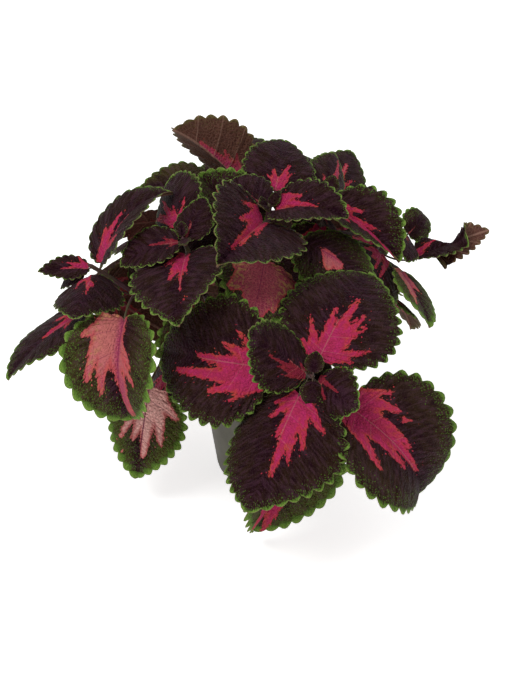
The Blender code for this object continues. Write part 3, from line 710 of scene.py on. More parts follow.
# %% [markdown]
# The relief follows the rows of the grid. On top the veins lie in grooves and the panels between them swell;
# below, the same veins stand up as ribs. Small puckers run along the veins, and a slow wave lifts and drops
# the margin, as thin leaves never lie flat. Shares such as `SWELL` are parts of the leaf's length, while
# the puckers and the ribs have a size in millimetres and only get lower on small leaves.

# %% Relief
COLUMNS = np.array(
    [0, 0.03, 0.08, 0.15, 0.22, 0.29, 0.36, 0.43, 0.5, 0.57, 0.64, 0.71, 0.78, 0.85, 0.91, 0.96, 1]
)
BLADE_THICKNESS = 0.5
VEIN_CURVE = 0.06
SWELL = 0.008
GROOVE_WIDTH = 0.032
WAVE = 0.014
WAVE_LENGTH = 0.55
EDGE_LIFT = 0.012
PUCKER = 0.34
PUCKER_SIZE = 4.5
PUCKER_STRETCH = 0.35
PUCKER_FULL_LENGTH = 60
MARGIN_FADE = 0.25
RIB_HEIGHT = 0.5
RIB_HALF_WIDTH = 0.8
RIB_FULL_LENGTH = 80
RIB_FADE = 0.2
MIDRIB_HALF_WIDTH = 1.0
MIDRIB_HEIGHT = 1.6
RIM_FULL_LENGTH = 80


def half_blade(leaf, look, outline, side, rng):
    """One half of the flat blade as grids: x, y, lift, the height of the ribs, and the painted fields."""
    mx, my = outline.margins[side]
    rib = outline.rib[:, None]
    q = COLUMNS[None, :]
    x = rib + (mx[:, None] - rib) * q
    x = x - VEIN_CURVE * leaf.length * q * (1 - q) * np.sin(np.pi * outline.t)[:, None]
    y = my[:, None] * q
    reach = np.hypot(mx - outline.rib, my)[:, None]
    lateral = nearest_row(x, y, outline.veins)

    # Places on the blade are measured on the smooth margin, so that no pattern zigzags with the teeth.
    even_x, even_y = outline.smooth[side]
    even_reach = np.hypot(even_x - outline.rib, even_y)[:, None]
    run = np.cumsum(np.hypot(np.gradient(even_x), np.gradient(even_y)))[:, None] + 0 * q

    # The panels swell, the margin waves, and the puckers fade out at the midrib and at the margin.
    groove = GROOVE_WIDTH * leaf.length
    panel = 1 - np.exp(-(lateral / groove) ** 2)
    by_midrib = 1 - np.exp(-(y / groove) ** 2)
    window = np.clip((1 - q) / MARGIN_FADE, 0, 1) ** 0.7
    swell = SWELL * leaf.length * by_midrib * window * panel
    wave = WAVE * leaf.length * q**2 * ripple(x, 0 * y, rng, leaf.length * WAVE_LENGTH, 3)
    pucker = PUCKER * min(1, leaf.length / PUCKER_FULL_LENGTH) * window * (0.3 + 0.7 * q)
    pucker = pucker * ripple(run, PUCKER_STRETCH * q * even_reach, rng, PUCKER_SIZE)
    lift = swell + wave + pucker * by_midrib + EDGE_LIFT * leaf.length * q**5

    # The ribs under the blade thin out towards the margin and end before it.
    ribs = np.exp(-(lateral / RIB_HALF_WIDTH) ** 2) * (1 - 0.7 * q)
    ribs = ribs + MIDRIB_HEIGHT * np.exp(-(y / MIDRIB_HALF_WIDTH) ** 2)
    ribs = RIB_HEIGHT * min(1, leaf.length / RIB_FULL_LENGTH) * ribs * np.clip((1 - q) / RIB_FADE, 0, 1)

    percent = 100 / leaf.length
    fields = {
        "heart": heart_depth(look.strokes, x * percent, side * y * percent),
        "rim": (1 - q) * reach * max(1, RIM_FULL_LENGTH / leaf.length),
        "share": q + 0 * x,
        "crest": (leaf.length >= BUD_LENGTH) * outline.crest[:, None] + 0 * x,
        "midrib": np.abs(y),
        "lateral": lateral,
        "forward": x,
        "run": run,
        "along": q * even_reach,
    }
    return x, y * side, lift, ribs, fields


print("columns from the midrib to the margin:", len(COLUMNS))

# %% [markdown]
# The two halves share the midrib, and each grid closes at the stalk and at the tip in a single point. The
# top and the underside are joined by a narrow wall round the teeth. The fields travel with the points as
# four vector attributes of the mesh, three values in each, because an export keeps few of them.

# %% The closed blade
ATTRIBUTES = {
    "leaf_place": ("run", "along", "seed"),
    "leaf_paint": ("heart", "rim", "share"),
    "leaf_veins": ("midrib", "lateral", "forward"),
    "leaf_look": ("salmon", "green", "crest"),
}
TOP, UNDER, STALK = 0, 1, 2


def blade_mesh(blade, look, rng):
    """The blade's points and faces, a finish for each face, and the painted fields at each point."""
    leaf = blade.leaf
    outline = Outline(leaf, rng)
    halves = [half_blade(leaf, look, outline, side, rng) for side in (1, -1)]
    rows, columns = halves[0][0].shape
    inner = rows - 2
    width = 2 * columns - 1

    def joined(left, right):
        grid = np.hstack([left[1:-1], right[1:-1, 1:]])
        return np.concatenate([[left[0, 0]], grid.ravel(), [left[-1, 0]]])

    x, y, lift, ribs = (joined(halves[0][k], halves[1][k]) for k in range(4))
    fields = {name: joined(halves[0][4][name], halves[1][4][name]) for name in halves[0][4]}
    fields["seed"] = np.full(len(x), rng.uniform(0, 100))
    fields["salmon"] = np.full(len(x), look.salmon)
    fields["green"] = np.full(len(x), look.green)
    top = blade.place(x, *curled(x, y, lift + BLADE_THICKNESS / 2, leaf, look))
    under = blade.place(x, *curled(x, y, lift - BLADE_THICKNESS / 2 - ribs, leaf, look))

    # Column 0 is the midrib, and the columns of the right half follow those of the left.
    tip = len(x) - 1
    sheet = []
    ring = {}
    for side in (1, -1):
        columns_out = [0, *range(1, columns)] if side > 0 else [0, *range(columns, width)]
        grid = [[1 + row * width + column for column in columns_out] for row in range(inner)]
        ring[side] = [line[-1] for line in grid]
        half = []
        for a, b in zip(range(columns - 1), range(1, columns)):
            half.append((0, grid[0][a], grid[0][b]))
            half.append((grid[-1][a], tip, grid[-1][b]))
            half += [(near[a], far[a], far[b], near[b]) for near, far in zip(grid, grid[1:])]
        sheet += half if side > 0 else [face[::-1] for face in half]
    edge = [0, *ring[1], tip, *ring[-1][::-1]]
    size = len(x)
    faces = sheet + [tuple(k + size for k in face[::-1]) for face in sheet]
    faces += [(a, b, b + size, a + size) for a, b in zip(edge, edge[1:] + edge[:1])]
    finish = [TOP] * len(sheet) + [UNDER] * (len(sheet) + len(edge))
    fields = {name: np.concatenate([values, values]) for name, values in fields.items()}
    return np.vstack([top, under]), faces, finish, fields


print("painted fields:", ATTRIBUTES)

# %% [markdown]
# Stalks are round and run on as the thick midrib below the blade. A coleus stem is square, with rounded
# corners, and swells a little where each pair of stalks leaves it, so its tube has a squarish section.

# %% A tube along a line
def tube(line, radii, sides, section):
    """A closed tube along a line of points. `section` gives its radius factor at each angle round it."""
    ahead = np.gradient(line, axis=0)
    across = unit(np.cross(ahead[0], [0.3, 0.9, 0.2]))
    angles = 2 * math.pi * np.arange(sides) / sides
    points = []
    for centre, along, radius in zip(line, ahead, radii):
        along = unit(along)
        across = unit(across - (across @ along) * along)
        beside = np.cross(along, across)
        ring = np.cos(angles)[:, None] * across + np.sin(angles)[:, None] * beside
        points.append(centre + radius * section(angles)[:, None] * ring)
    faces = []
    for ring in range(len(line) - 1):
        start = ring * sides
        pairs = [(start + k, start + (k + 1) % sides) for k in range(sides)]
        faces += [(a, b, b + sides, a + sides) for a, b in pairs]
    last = (len(line) - 1) * sides
    faces += [tuple(range(sides - 1, -1, -1)), tuple(range(last, last + sides))]
    return np.vstack(points), faces


# %% Stalks
STALK_SIDES = 10
STALK_STEPS = 12
STALK_RADIUS = 1.05
STALK_FOOT = 1.35
STALK_BEND = 0.45
RIB_START = 0.03
RIB_REACH = 0.55
RIB_STEPS = 8


def stalk_mesh(blade):
    """The stalk from inside the stem to the blade's base, and on as the midrib below the blade."""
    leaf = blade.leaf
    bend = blade.base - blade.forward * leaf.stalk * STALK_BEND
    line = curve_point(blade.node, bend, blade.base, np.linspace(0, 1, STALK_STEPS))
    radius = STALK_RADIUS * blade.stoutness
    rib_x = np.linspace(RIB_START, RIB_REACH, RIB_STEPS) * leaf.length
    rib_radius = np.linspace(0.85, 0.25, RIB_STEPS) * radius
    under = blade.place(rib_x, 0 * rib_x, -BLADE_THICKNESS / 2 - 0.5 * rib_radius)
    radii = np.concatenate([np.full(STALK_STEPS, radius), rib_radius])
    radii[0] = STALK_FOOT * radius
    line[-1] = blade.base - 0.5 * radius * blade.upward
    return tube(np.vstack([line, under]), radii, STALK_SIDES, np.ones_like)


print("the longest stalk is", max(leaf.stalk for shoot in SHOOTS for leaf in shoot.leaves), "mm")

# %% Stems
STEM_SIDES = 20
STEM_STEPS = 60
STEM_FOOT_RADIUS = 3.8
STEM_TOP_RADIUS = 1.8
SQUARENESS = 0.16
NODE_SWELL = 0.22
NODE_HALF_LENGTH = 3


def stem_mesh(shoot):
    """The stem from the bottom of its hole in the soil to its tip."""
    line = curve_point(*stem_curve(shoot), np.linspace(0, 1, STEM_STEPS))
    below_tip = np.linalg.norm(line[-1] - line[0]) * np.linspace(1, 0, STEM_STEPS)
    radii = np.linspace(STEM_FOOT_RADIUS, STEM_TOP_RADIUS, STEM_STEPS)
    for leaf in shoot.leaves:
        radii = radii * (1 + NODE_SWELL / 2 * np.exp(-(((below_tip - leaf.drop) / NODE_HALF_LENGTH) ** 2)))
    radii[-1] *= 0.5
    return tube(line, radii, STEM_SIDES, lambda angles: 1 + SQUARENESS * np.cos(4 * angles))


print("points on a stem:", len(stem_mesh(SHOOTS[0])[0]))

# %% [markdown]
# ## Finishes
# A finish here is a small factory of nodes. The painted fields that each blade carries tell the nodes where
# they are: how deep inside the pink heart, how far from the toothed edge, how far from a vein. Noise then
# frays these distances, so every border is ragged as it is on the leaf, and no two leaves are alike.


# %% A shorthand for nodes
class Sheet:
    """A node tree with short calls. A value may be a socket, a number or a colour."""

    def __init__(self, tree):
        self.tree = tree

    def set(self, socket, value):
        if isinstance(value, bpy.types.NodeSocket):
            self.tree.links.new(value, socket)
        else:
            socket.default_value = value

    def add(self, kind, **settings):
        node = self.tree.nodes.new(kind)
        for name, value in settings.items():
            setattr(node, name, value)
        return node

    def math(self, operation, *values):
        node = self.add("ShaderNodeMath", operation=operation)
        for socket, value in zip(node.inputs, values):
            self.set(socket, value)
        return node.outputs[0]

    def step(self, value, low, high, to_low=0.0, to_high=1.0):
        """`to_low` at `low` and `to_high` at `high`, with a soft passage between them."""
        node = self.add("ShaderNodeMapRange", interpolation_type="SMOOTHSTEP")
        ends = {"From Min": low, "From Max": high, "To Min": to_low, "To Max": to_high}
        for name, given in {"Value": value, **ends}.items():
            self.set(node.inputs[name], given)
        return node.outputs[0]

    def times(self, first, second):
        return self.math("MULTIPLY", first, second)

    def line(self, value, slope, start):
        """The straight line `start + slope * value`."""
        return self.math("MULTIPLY_ADD", value, slope, start)

    def mix(self, share, first, second):
        node = self.add("ShaderNodeMix", data_type="RGBA")
        self.set(node.inputs[0], share)
        self.set(node.inputs[6], first)
        self.set(node.inputs[7], second)
        return node.outputs[2]

    def vector(self, x, y, z):
        node = self.add("ShaderNodeCombineXYZ")
        for socket, value in zip(node.inputs, (x, y, z)):
            self.set(socket, value)
        return node.outputs[0]

    def split(self, vector):
        node = self.add("ShaderNodeSeparateXYZ")
        self.set(node.inputs[0], vector)
        return node.outputs

    def noise(self, vector, scale, detail=2.0, roughness=0.5):
        node = self.add("ShaderNodeTexNoise")
        self.set(node.inputs["Vector"], vector)
        node.inputs["Scale"].default_value = scale
        node.inputs["Detail"].default_value = detail
        node.inputs["Roughness"].default_value = roughness
        return node.outputs[0]

    def cells(self, vector, scale):
        node = self.add("ShaderNodeTexVoronoi", voronoi_dimensions="2D")
        self.set(node.inputs["Vector"], vector)
        node.inputs["Scale"].default_value = scale
        return node.outputs["Distance"], node.outputs["Color"]

    def cell_edges(self, vector, scale):
        node = self.add("ShaderNodeTexVoronoi", voronoi_dimensions="2D", feature="DISTANCE_TO_EDGE")
        self.set(node.inputs["Vector"], vector)
        node.inputs["Scale"].default_value = scale
        return node.outputs["Distance"]

    def attribute(self, name):
        return self.add("ShaderNodeAttribute", attribute_name=name).outputs["Vector"]

    def object_place(self):
        """Where each point lies, in metres, so that a pattern keeps its size on every piece."""
        return self.add("ShaderNodeTexCoord").outputs["Object"]

    def call(self, group, **values):
        node = self.add("ShaderNodeGroup", node_tree=group)
        for name, value in values.items():
            self.set(node.inputs[name.replace("_", " ")], value)
        return node.outputs


print("calls:", ", ".join(name for name in vars(Sheet) if not name.startswith("_")))

# %% [markdown]
# An effect that more than one finish needs is a node group: it is built once, has named inputs and outputs,
# and is then placed like any other node. The main shader stays in each material, outside the groups.


# %% Groups, finishes and relief
def group(name, inputs, outputs):
    """An empty node group, its sheet, its inputs by name, and the places where its outputs are set."""
    tree = bpy.data.node_groups.new(name, "ShaderNodeTree")
    kinds = {"value": "NodeSocketFloat", "vector": "NodeSocketVector", "colour": "NodeSocketColor"}
    for label, kind in inputs.items():
        tree.interface.new_socket(label, in_out="INPUT", socket_type=kinds[kind])
    for label, kind in outputs.items():
        tree.interface.new_socket(label, in_out="OUTPUT", socket_type=kinds[kind])
    sheet = Sheet(tree)
    given = sheet.add("NodeGroupInput").outputs
    result = sheet.add("NodeGroupOutput").inputs
    return tree, sheet, given, result


def finish_of(name, **principled):
    """A material, its sheet, and its main shader with these constants set on its own sockets."""
    made = bpy.data.materials.new(name)
    made.use_nodes = True
    shader = made.node_tree.nodes["Principled BSDF"]
    for label, value in principled.items():
        shader.inputs[label.replace("_", " ")].default_value = value
    return made, Sheet(made.node_tree), shader


def bump(sheet, shader, height, depth, strength=1.0):
    """Adds fine relief, `depth` metres deep, to the shader."""
    node = sheet.add("ShaderNodeBump")
    node.inputs["Strength"].default_value = strength
    node.inputs["Distance"].default_value = depth
    sheet.set(node.inputs["Height"], height)
    sheet.set(shader.inputs["Normal"], node.outputs[0])


# %% [markdown]
# ### Dots and veins
# "stipple" turns a chance from 0 to 1 into small round dots. Each cell of a Voronoi texture has a random
# colour: its red decides whether the cell shows a dot, and its green how large the dot is. "vein lines"
# gives the midrib and the side veins as a mask, and the fine veins as a net, with a quilt that is highest
# in the middle of each mesh of the net.

# %% Stipple
stipple, sheet, given, result = group(
    "stipple", {"Place": "vector", "Chance": "value", "Fineness": "value", "Size": "value"}, {"Mask": "value"}
)
u, v, seed = sheet.split(given["Place"])
spot = sheet.vector(sheet.line(u, given["Fineness"], seed), sheet.times(v, given["Fineness"]), 0.0)
distance, tint = sheet.cells(spot, 1.0)
luck, size, _ = sheet.split(tint)
chosen = sheet.math("LESS_THAN", luck, given["Chance"])
radius = sheet.times(given["Size"], sheet.line(size, 0.5, 0.4))
dots = sheet.step(distance, radius, sheet.times(radius, 0.5))
sheet.set(result["Mask"], sheet.times(chosen, dots))
print("nodes in the stipple:", len(stipple.nodes))

# %% Vein lines
MIDRIB_LINE = 0.8
SIDE_VEIN_STRENGTH = 0.65
NET_SCALE = 0.3

vein_lines, sheet, given, result = group(
    "vein lines",
    {"Veins": "vector", "Place": "vector", "Share": "value"},
    {"Mask": "value", "Net": "value", "Quilt": "value"},
)
midrib, lateral, forward = sheet.split(given["Veins"])
seed = sheet.split(given["Place"])[2]
fray = sheet.line(sheet.noise(given["Place"], 0.5, 2), 0.5, -0.25)
midrib_line = sheet.step(sheet.math("ADD", midrib, fray), MIDRIB_LINE, 0.3)
width = sheet.line(given["Share"], -0.35, 0.55)
side_line = sheet.step(sheet.math("ADD", lateral, fray), width, sheet.times(width, 0.3))
sheet.set(result["Mask"], sheet.math("MAXIMUM", midrib_line, sheet.times(side_line, SIDE_VEIN_STRENGTH)))
warp = sheet.times(sheet.noise(given["Place"], 0.2, 2), 1.6)
net_place = sheet.vector(
    sheet.line(forward, NET_SCALE, sheet.math("ADD", warp, seed)), sheet.line(midrib, NET_SCALE, warp), 0.0
)
net = sheet.cell_edges(net_place, 1.0)
sheet.set(result["Net"], sheet.step(net, 0.2, 0.03))
sheet.set(result["Quilt"], sheet.step(net, 0.0, 0.45))
print("groups:", [tree.name for tree in bpy.data.node_groups])

# %% [markdown]
# ### The marks of the leaf
# The group "leaf marks" lays the colours over one another: the dark body, the green edge, the pink heart,
# then the veins. First it makes the noises that these share. `flow` is drawn out forwards and sideways, as
# the side veins run, `fine_flow` from the midrib to the margin, and `even` is the same in every direction.
# All three are shifted by the leaf's own seed.

# %% The fields and the noises
VEIN_SLANT = 0.45

leaf_marks, sheet, given, result = group(
    "leaf marks",
    {"Place": "vector", "Paint": "vector", "Veins": "vector", "Look": "vector"},
    {"Colour": "colour", "Heart": "value", "Net": "value", "Relief": "value"},
)
u, v, seed = sheet.split(given["Place"])
heart, rim, share = sheet.split(given["Paint"])
midrib, _, forward = sheet.split(given["Veins"])
salmon, green, crest = sheet.split(given["Look"])
across = sheet.math("SUBTRACT", midrib, sheet.times(forward, VEIN_SLANT))
along = sheet.math("ADD", forward, sheet.times(midrib, VEIN_SLANT))
flow = sheet.vector(sheet.times(across, 0.5), sheet.times(along, 0.2), seed)
fine_flow = sheet.vector(sheet.times(u, 0.4), sheet.times(v, 0.09), seed)
even = sheet.vector(sheet.times(u, 0.5), sheet.times(v, 0.5), seed)
streak = sheet.noise(fine_flow, 1.0, 3, 0.55)
cloud = sheet.noise(even, 0.25, 2)
grain = sheet.noise(even, 1.3, 3, 0.6)
lines = sheet.call(vein_lines, Veins=given["Veins"], Place=given["Place"], Share=share)
print("noises and fields:", len(leaf_marks.nodes), "nodes")

# %% [markdown]
# The dark body is nearly black maroon. The light that its velvet catches in streaks along the veins is a
# painted sheen: lighter purple streaks in the colour. Old leaves turn olive from the margin inwards.

# %% The dark body
DARK = (0.0155, 0.0012, 0.0062, 1)
DARK_OLIVE = (0.020, 0.0055, 0.0030, 1)
PAINTED_SHEEN = (0.070, 0.025, 0.044, 1)
FRECKLE = (0.065, 0.038, 0.032, 1)
OLIVE = (0.070, 0.058, 0.008, 1)
OLIVE_GREEN = (0.095, 0.105, 0.014, 1)
PAINTED_SHEEN_STRENGTH = 0.55
FRECKLE_STRENGTH = 0.45

body = sheet.mix(sheet.step(cloud, 0.35, 0.65), DARK, DARK_OLIVE)
age = sheet.math("MAXIMUM", salmon, sheet.times(green, 0.9))
ageing = sheet.times(age, sheet.step(share, 0.1, 0.9))
olive = sheet.mix(sheet.step(green, 0.4, 0.8), OLIVE, OLIVE_GREEN)
body = sheet.mix(sheet.times(ageing, sheet.step(streak, 0.25, 0.6)), body, olive)
# painted sheen: lighter purple streaks along the veins stand in for the light that the velvet catches
body = sheet.mix(sheet.step(streak, 0.42, 0.68, 0.0, PAINTED_SHEEN_STRENGTH), body, PAINTED_SHEEN)
freckles = sheet.call(stipple, Place=given["Place"], Chance=0.6, Fineness=0.7, Size=0.45)["Mask"]
body = sheet.mix(sheet.times(freckles, FRECKLE_STRENGTH), body, FRECKLE)
print("with the dark body:", len(leaf_marks.nodes), "nodes")

# %% [markdown]
# The green edge is a solid ragged patch on the crest of each tooth. Dots of the same green thin out from it
# inwards, far in on a green leaf and hardly at all on a young one. A thin pale line ends the blade.

# %% The green edge
LIME = (0.19, 0.32, 0.05, 1)
LEAF_GREEN = (0.085, 0.16, 0.022, 1)
EDGE_LINE = (0.24, 0.25, 0.10, 1)
DOT_STRENGTH = 0.8
EDGE_LINE_STRENGTH = 0.8

tooth_width = sheet.line(crest, 0.9, 0.15)
rim_width = sheet.times(tooth_width, sheet.line(green, 11.0, 1.5))
frayed = sheet.math("ADD", rim, sheet.times(tooth_width, sheet.line(grain, 9.0, -4.3)))
solid = sheet.step(frayed, rim_width, sheet.times(rim_width, 0.6))
dot_zone = sheet.times(sheet.line(crest, 0.4, 0.8), sheet.line(green, 55.0, 2.5))
chance = sheet.step(rim, dot_zone, 0.0, 0.0, 0.95)
dots = sheet.call(stipple, Place=given["Place"], Chance=chance, Fineness=0.62, Size=0.55)["Mask"]
edge_green = sheet.mix(sheet.step(frayed, sheet.times(rim_width, 0.7), 0.3), LEAF_GREEN, LIME)
painted = sheet.mix(sheet.times(dots, DOT_STRENGTH), body, LEAF_GREEN)
painted = sheet.mix(solid, painted, edge_green)
painted = sheet.mix(sheet.step(rim, 0.5, 0.2, 0.0, EDGE_LINE_STRENGTH), painted, EDGE_LINE)
print("with the green edge:", len(leaf_marks.nodes), "nodes")

# %% [markdown]
# The heart's depth comes with the blade, and noise frays it. Inside there is magenta and rose, crossed by a
# crimson net. With age, which is `salmon`, the heart passes through stages: deep red on the youngest
# leaves, magenta, a dusky rose, salmon with mauve by the midrib and the tip, and at last pale peach. Each
# stage below gives the `salmon` at which it starts and the one at which it is complete.

# %% The pink heart
MAGENTA = (0.54, 0.03, 0.145, 1)
ROSE = (0.46, 0.03, 0.09, 1)
CRIMSON = (0.24, 0.012, 0.04, 1)
YOUNG_RED = (0.20, 0.018, 0.028, 1)
DUSKY = (0.33, 0.045, 0.080, 1)
SALMON = (0.56, 0.16, 0.15, 1)
MAUVE = (0.42, 0.055, 0.14, 1)
PEACH = (1.0, 0.56, 0.50, 1)
YOUNG_STAGE = (0.08, 0.0)
FADING_STAGE = (0.15, 0.4)
NET_STAGE = (0.2, 0.4)
SALMON_STAGE = (0.35, 0.6)
PEACH_STAGE = (0.6, 1.0)
NET_STRENGTH = 0.35
YOUNG_STRENGTH = 0.85

ragged = sheet.math("ADD", heart, sheet.line(sheet.noise(flow, 1.0, 3, 0.55), 7.0, -3.5))
inside = sheet.step(ragged, -0.4, 0.6)
deep = sheet.step(ragged, 0.0, sheet.line(salmon, 2.0, 2.8))
pink = sheet.mix(sheet.step(cloud, 0.3, 0.7), MAGENTA, ROSE)
by_midrib = sheet.step(midrib, 7.0, 0.5, 0.0, 0.9)
by_tip = sheet.step(forward, 25.0, 65.0, 0.0, 0.9)
faded = sheet.mix(sheet.math("MAXIMUM", by_midrib, by_tip), SALMON, MAUVE)
faded = sheet.mix(sheet.step(salmon, *SALMON_STAGE), DUSKY, faded)
faded = sheet.mix(sheet.step(salmon, *PEACH_STAGE, 0.0, 0.92), faded, PEACH)
pink = sheet.mix(sheet.step(salmon, *FADING_STAGE), pink, faded)
young = sheet.times(sheet.step(salmon, *YOUNG_STAGE), YOUNG_STRENGTH)
pink = sheet.mix(young, pink, YOUNG_RED)
net_colour = sheet.mix(sheet.step(salmon, *NET_STAGE), CRIMSON, SALMON)
pink = sheet.mix(sheet.times(lines["Net"], NET_STRENGTH), pink, net_colour)
print("with the heart:", len(leaf_marks.nodes), "nodes")

# %% [markdown]
# Faded hearts have yellowish mottles in their outer part, which are faint on the palest ones. Round every
# heart runs a narrow border of red or flame orange, with a few loose specks outside it.

# %% Mottles, border and specks
MOTTLE = (0.48, 0.27, 0.10, 1)
RED_BORDER = (0.52, 0.025, 0.055, 1)
FLAME = (0.56, 0.075, 0.035, 1)

blotch = sheet.noise(even, 0.45, 2)
mottled = sheet.times(sheet.step(share, 0.2, 0.6), sheet.step(blotch, 0.45, 0.6))
mottled = sheet.times(mottled, sheet.step(salmon, *FADING_STAGE, 0.0, 0.85))
mottled = sheet.times(mottled, sheet.step(salmon, 1.0, 0.5, 0.1, 1.0))
pink = sheet.mix(mottled, pink, MOTTLE)
border = sheet.mix(sheet.step(cloud, 0.45, 0.75), RED_BORDER, FLAME)
border = sheet.mix(sheet.times(salmon, 0.7), border, SALMON)
border = sheet.mix(young, border, YOUNG_RED)
near = sheet.step(ragged, -7.0, -0.5, 0.0, 0.16)
specks = sheet.call(stipple, Place=given["Place"], Chance=near, Fineness=0.33, Size=0.35)["Mask"]
painted = sheet.mix(specks, painted, border)
painted = sheet.mix(inside, painted, sheet.mix(deep, border, pink))
print("with its border:", len(leaf_marks.nodes), "nodes")

# %% [markdown]
# The veins are pale across the pink, plum across a faded heart, and hardly there across the dark body. The
# group also hands out two masks, which the underside needs, and the fine relief for the bump.

# %% The veins and the relief
PALE_VEIN = (0.55, 0.22, 0.19, 1)
DARK_VEIN = (0.050, 0.016, 0.018, 1)
PLUM_VEIN = (0.20, 0.018, 0.07, 1)

vein_colour = sheet.mix(inside, DARK_VEIN, sheet.mix(sheet.step(salmon, *NET_STAGE), PALE_VEIN, PLUM_VEIN))
strength = sheet.times(sheet.line(inside, 0.6, 0.4), sheet.line(salmon, 0.6, 0.3))
painted = sheet.mix(sheet.times(lines["Mask"], strength), painted, vein_colour)
relief = sheet.line(lines["Quilt"], 0.8, sheet.times(grain, 0.5))
handed_out = {"Colour": painted, "Heart": inside, "Net": lines["Net"], "Relief": relief}
for label, value in handed_out.items():
    sheet.set(result[label], value)
print("with the veins:", len(leaf_marks.nodes), "nodes")

# %% [markdown]
# ### The three finishes of a shoot
# The upper face is velvety: short hairs scatter light at grazing angles, which the sheen layer stands for.
# The fields come in through Attribute nodes, by the names that the mesh gave them.

# %% The upper face
LEAF_FIELDS = {"Place": "leaf_place", "Paint": "leaf_paint", "Veins": "leaf_veins", "Look": "leaf_look"}


def marks_on(sheet):
    """The leaf's marks, worked out from the fields that its mesh carries."""
    fields = {label: sheet.attribute(name) for label, name in LEAF_FIELDS.items()}
    return fields, sheet.call(leaf_marks, **fields)


leaf_top, sheet, shader = finish_of(
    "velvety coleus leaf",
    Roughness=0.5,
    Specular_IOR_Level=0.07,
    Sheen_Weight=0.008,
    Sheen_Roughness=0.4,
    Sheen_Tint=(0.9, 0.8, 1.0, 1),
)
fields, marks = marks_on(sheet)
sheet.set(shader.inputs["Base Color"], marks["Colour"])
bump(sheet, shader, marks["Relief"], 0.0014, 0.8)
print("finish:", leaf_top.name)

# %% [markdown]
# The underside is the same leaf seen from its back: duller and browner, with the heart showing through, and
# ribs that are lighter than the panels between them.

# %% The underside
DARK_PANEL = (0.12, 0.043, 0.028, 1)
LIGHT_PANEL = (0.165, 0.067, 0.042, 1)
UNDER_RIB = (0.31, 0.17, 0.125, 1)

leaf_under, sheet, shader = finish_of(
    "underside of a coleus leaf",
    Roughness=0.65,
    Specular_IOR_Level=0.15,
    Sheen_Weight=0.02,
    Sheen_Roughness=0.5,
)
fields, marks = marks_on(sheet)
panel = sheet.mix(sheet.step(sheet.noise(fields["Place"], 0.4, 3), 0.3, 0.7), DARK_PANEL, LIGHT_PANEL)
seen = sheet.mix(sheet.line(marks["Heart"], 0.5, 0.3), panel, marks["Colour"])
midrib, lateral, _ = sheet.split(fields["Veins"])
ribs = sheet.math("MAXIMUM", sheet.step(midrib, 1.7, 0.8, 0.0, 0.8), sheet.step(lateral, 0.9, 0.35, 0.0, 0.6))
ribs = sheet.math("MAXIMUM", ribs, sheet.times(marks["Net"], 0.2))
sheet.set(shader.inputs["Base Color"], sheet.mix(ribs, seen, UNDER_RIB))
bump(sheet, shader, marks["Relief"], 0.001, 0.6)
print("finish:", leaf_under.name)

# %% [markdown]
# Stalks and stems are downy, with a soft shine, and blotched with dull red and olive. They carry no painted
# fields, so their noise follows the place of each point instead.

# %% The skin of stalks and stems
STALK_RED = (0.07, 0.022, 0.03, 1)
STALK_OLIVE = (0.075, 0.06, 0.025, 1)

stalk_skin, sheet, shader = finish_of(
    "downy coleus stalk",
    Roughness=0.5,
    Specular_IOR_Level=0.3,
    Sheen_Weight=0.05,
    Sheen_Roughness=0.4,
)
where = sheet.object_place()
patches = sheet.step(sheet.noise(where, 60, 3), 0.35, 0.65)
sheet.set(shader.inputs["Base Color"], sheet.mix(patches, STALK_RED, STALK_OLIVE))
bump(sheet, shader, sheet.noise(where, 900, 2), 0.0003, 0.5)
LEAF_FINISHES = (leaf_top, leaf_under, stalk_skin)
print("finishes of a shoot:", [finish.name for finish in LEAF_FINISHES])

# %% [markdown]
# ## The shoots
# Each shoot becomes one piece: its stem, its stalks and its blades. It stands for the CAD shoot of the same
# name, so it rides with it. The fields of its blades are stored on its points as vectors, and stems and
# stalks, which need none, hold zeros.


# %% A mesh object
def build_piece(name, points, faces, finishes, face_finish, fields=None):
    """A smooth mesh object from points in millimetres."""
    mesh = bpy.data.meshes.new(name)
    mesh.from_pydata((np.asarray(points) * MM).tolist(), [], faces)
    for finish in finishes:
        mesh.materials.append(finish)
    mesh.polygons.foreach_set("material_index", face_finish)
    mesh.polygons.foreach_set("use_smooth", [True] * len(mesh.polygons))
    for attribute, values in (fields or {}).items():
        data = mesh.attributes.new(attribute, "FLOAT_VECTOR", "POINT").data
        data.foreach_set("vector", np.asarray(values, np.float32).ravel())
    made = bpy.data.objects.new(name, mesh)
    scene.collection.objects.link(made)
    return made


# %% Build the shoots
FIRST_SEED = 100


def build_shoot(shoot, rng):
    """One piece for a shoot: every part adds its points, faces, finishes and fields to the lists."""
    points, faces, finish = [], [], []
    fields = {attribute: [] for attribute in ATTRIBUTES}
    count = 0

    def collect(part_points, part_faces, part_finish, part_fields=None):
        nonlocal count
        points.append(part_points)
        faces.extend(tuple(k + count for k in face) for face in part_faces)
        finish.extend(part_finish)
        for attribute, names in ATTRIBUTES.items():
            blank = np.zeros((len(part_points), len(names)))
            drawn = np.stack([part_fields[name] for name in names], 1) if part_fields else blank
            fields[attribute].append(drawn)
        count += len(part_points)

    tube_points, tube_faces = stem_mesh(shoot)
    collect(tube_points, tube_faces, [STALK] * len(tube_faces))
    for leaf in shoot.leaves:
        blade = Blade(shoot, leaf)
        tube_points, tube_faces = stalk_mesh(blade)
        collect(tube_points, tube_faces, [STALK] * len(tube_faces))
        collect(*blade_mesh(blade, look_of(shoot, leaf), rng))
    stacked = {attribute: np.vstack(rows) for attribute, rows in fields.items()}
    return build_piece(f"leafy_{shoot.name}", np.vstack(points), faces, LEAF_FINISHES, finish, stacked)


for number, shoot in enumerate(SHOOTS):
    made = build_shoot(shoot, np.random.default_rng(FIRST_SEED + number))
    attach(made, "root")
    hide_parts(f"shoot_{shoot.name}")
    print(made.name, sum(len(face.vertices) - 2 for face in made.data.polygons), "triangles")

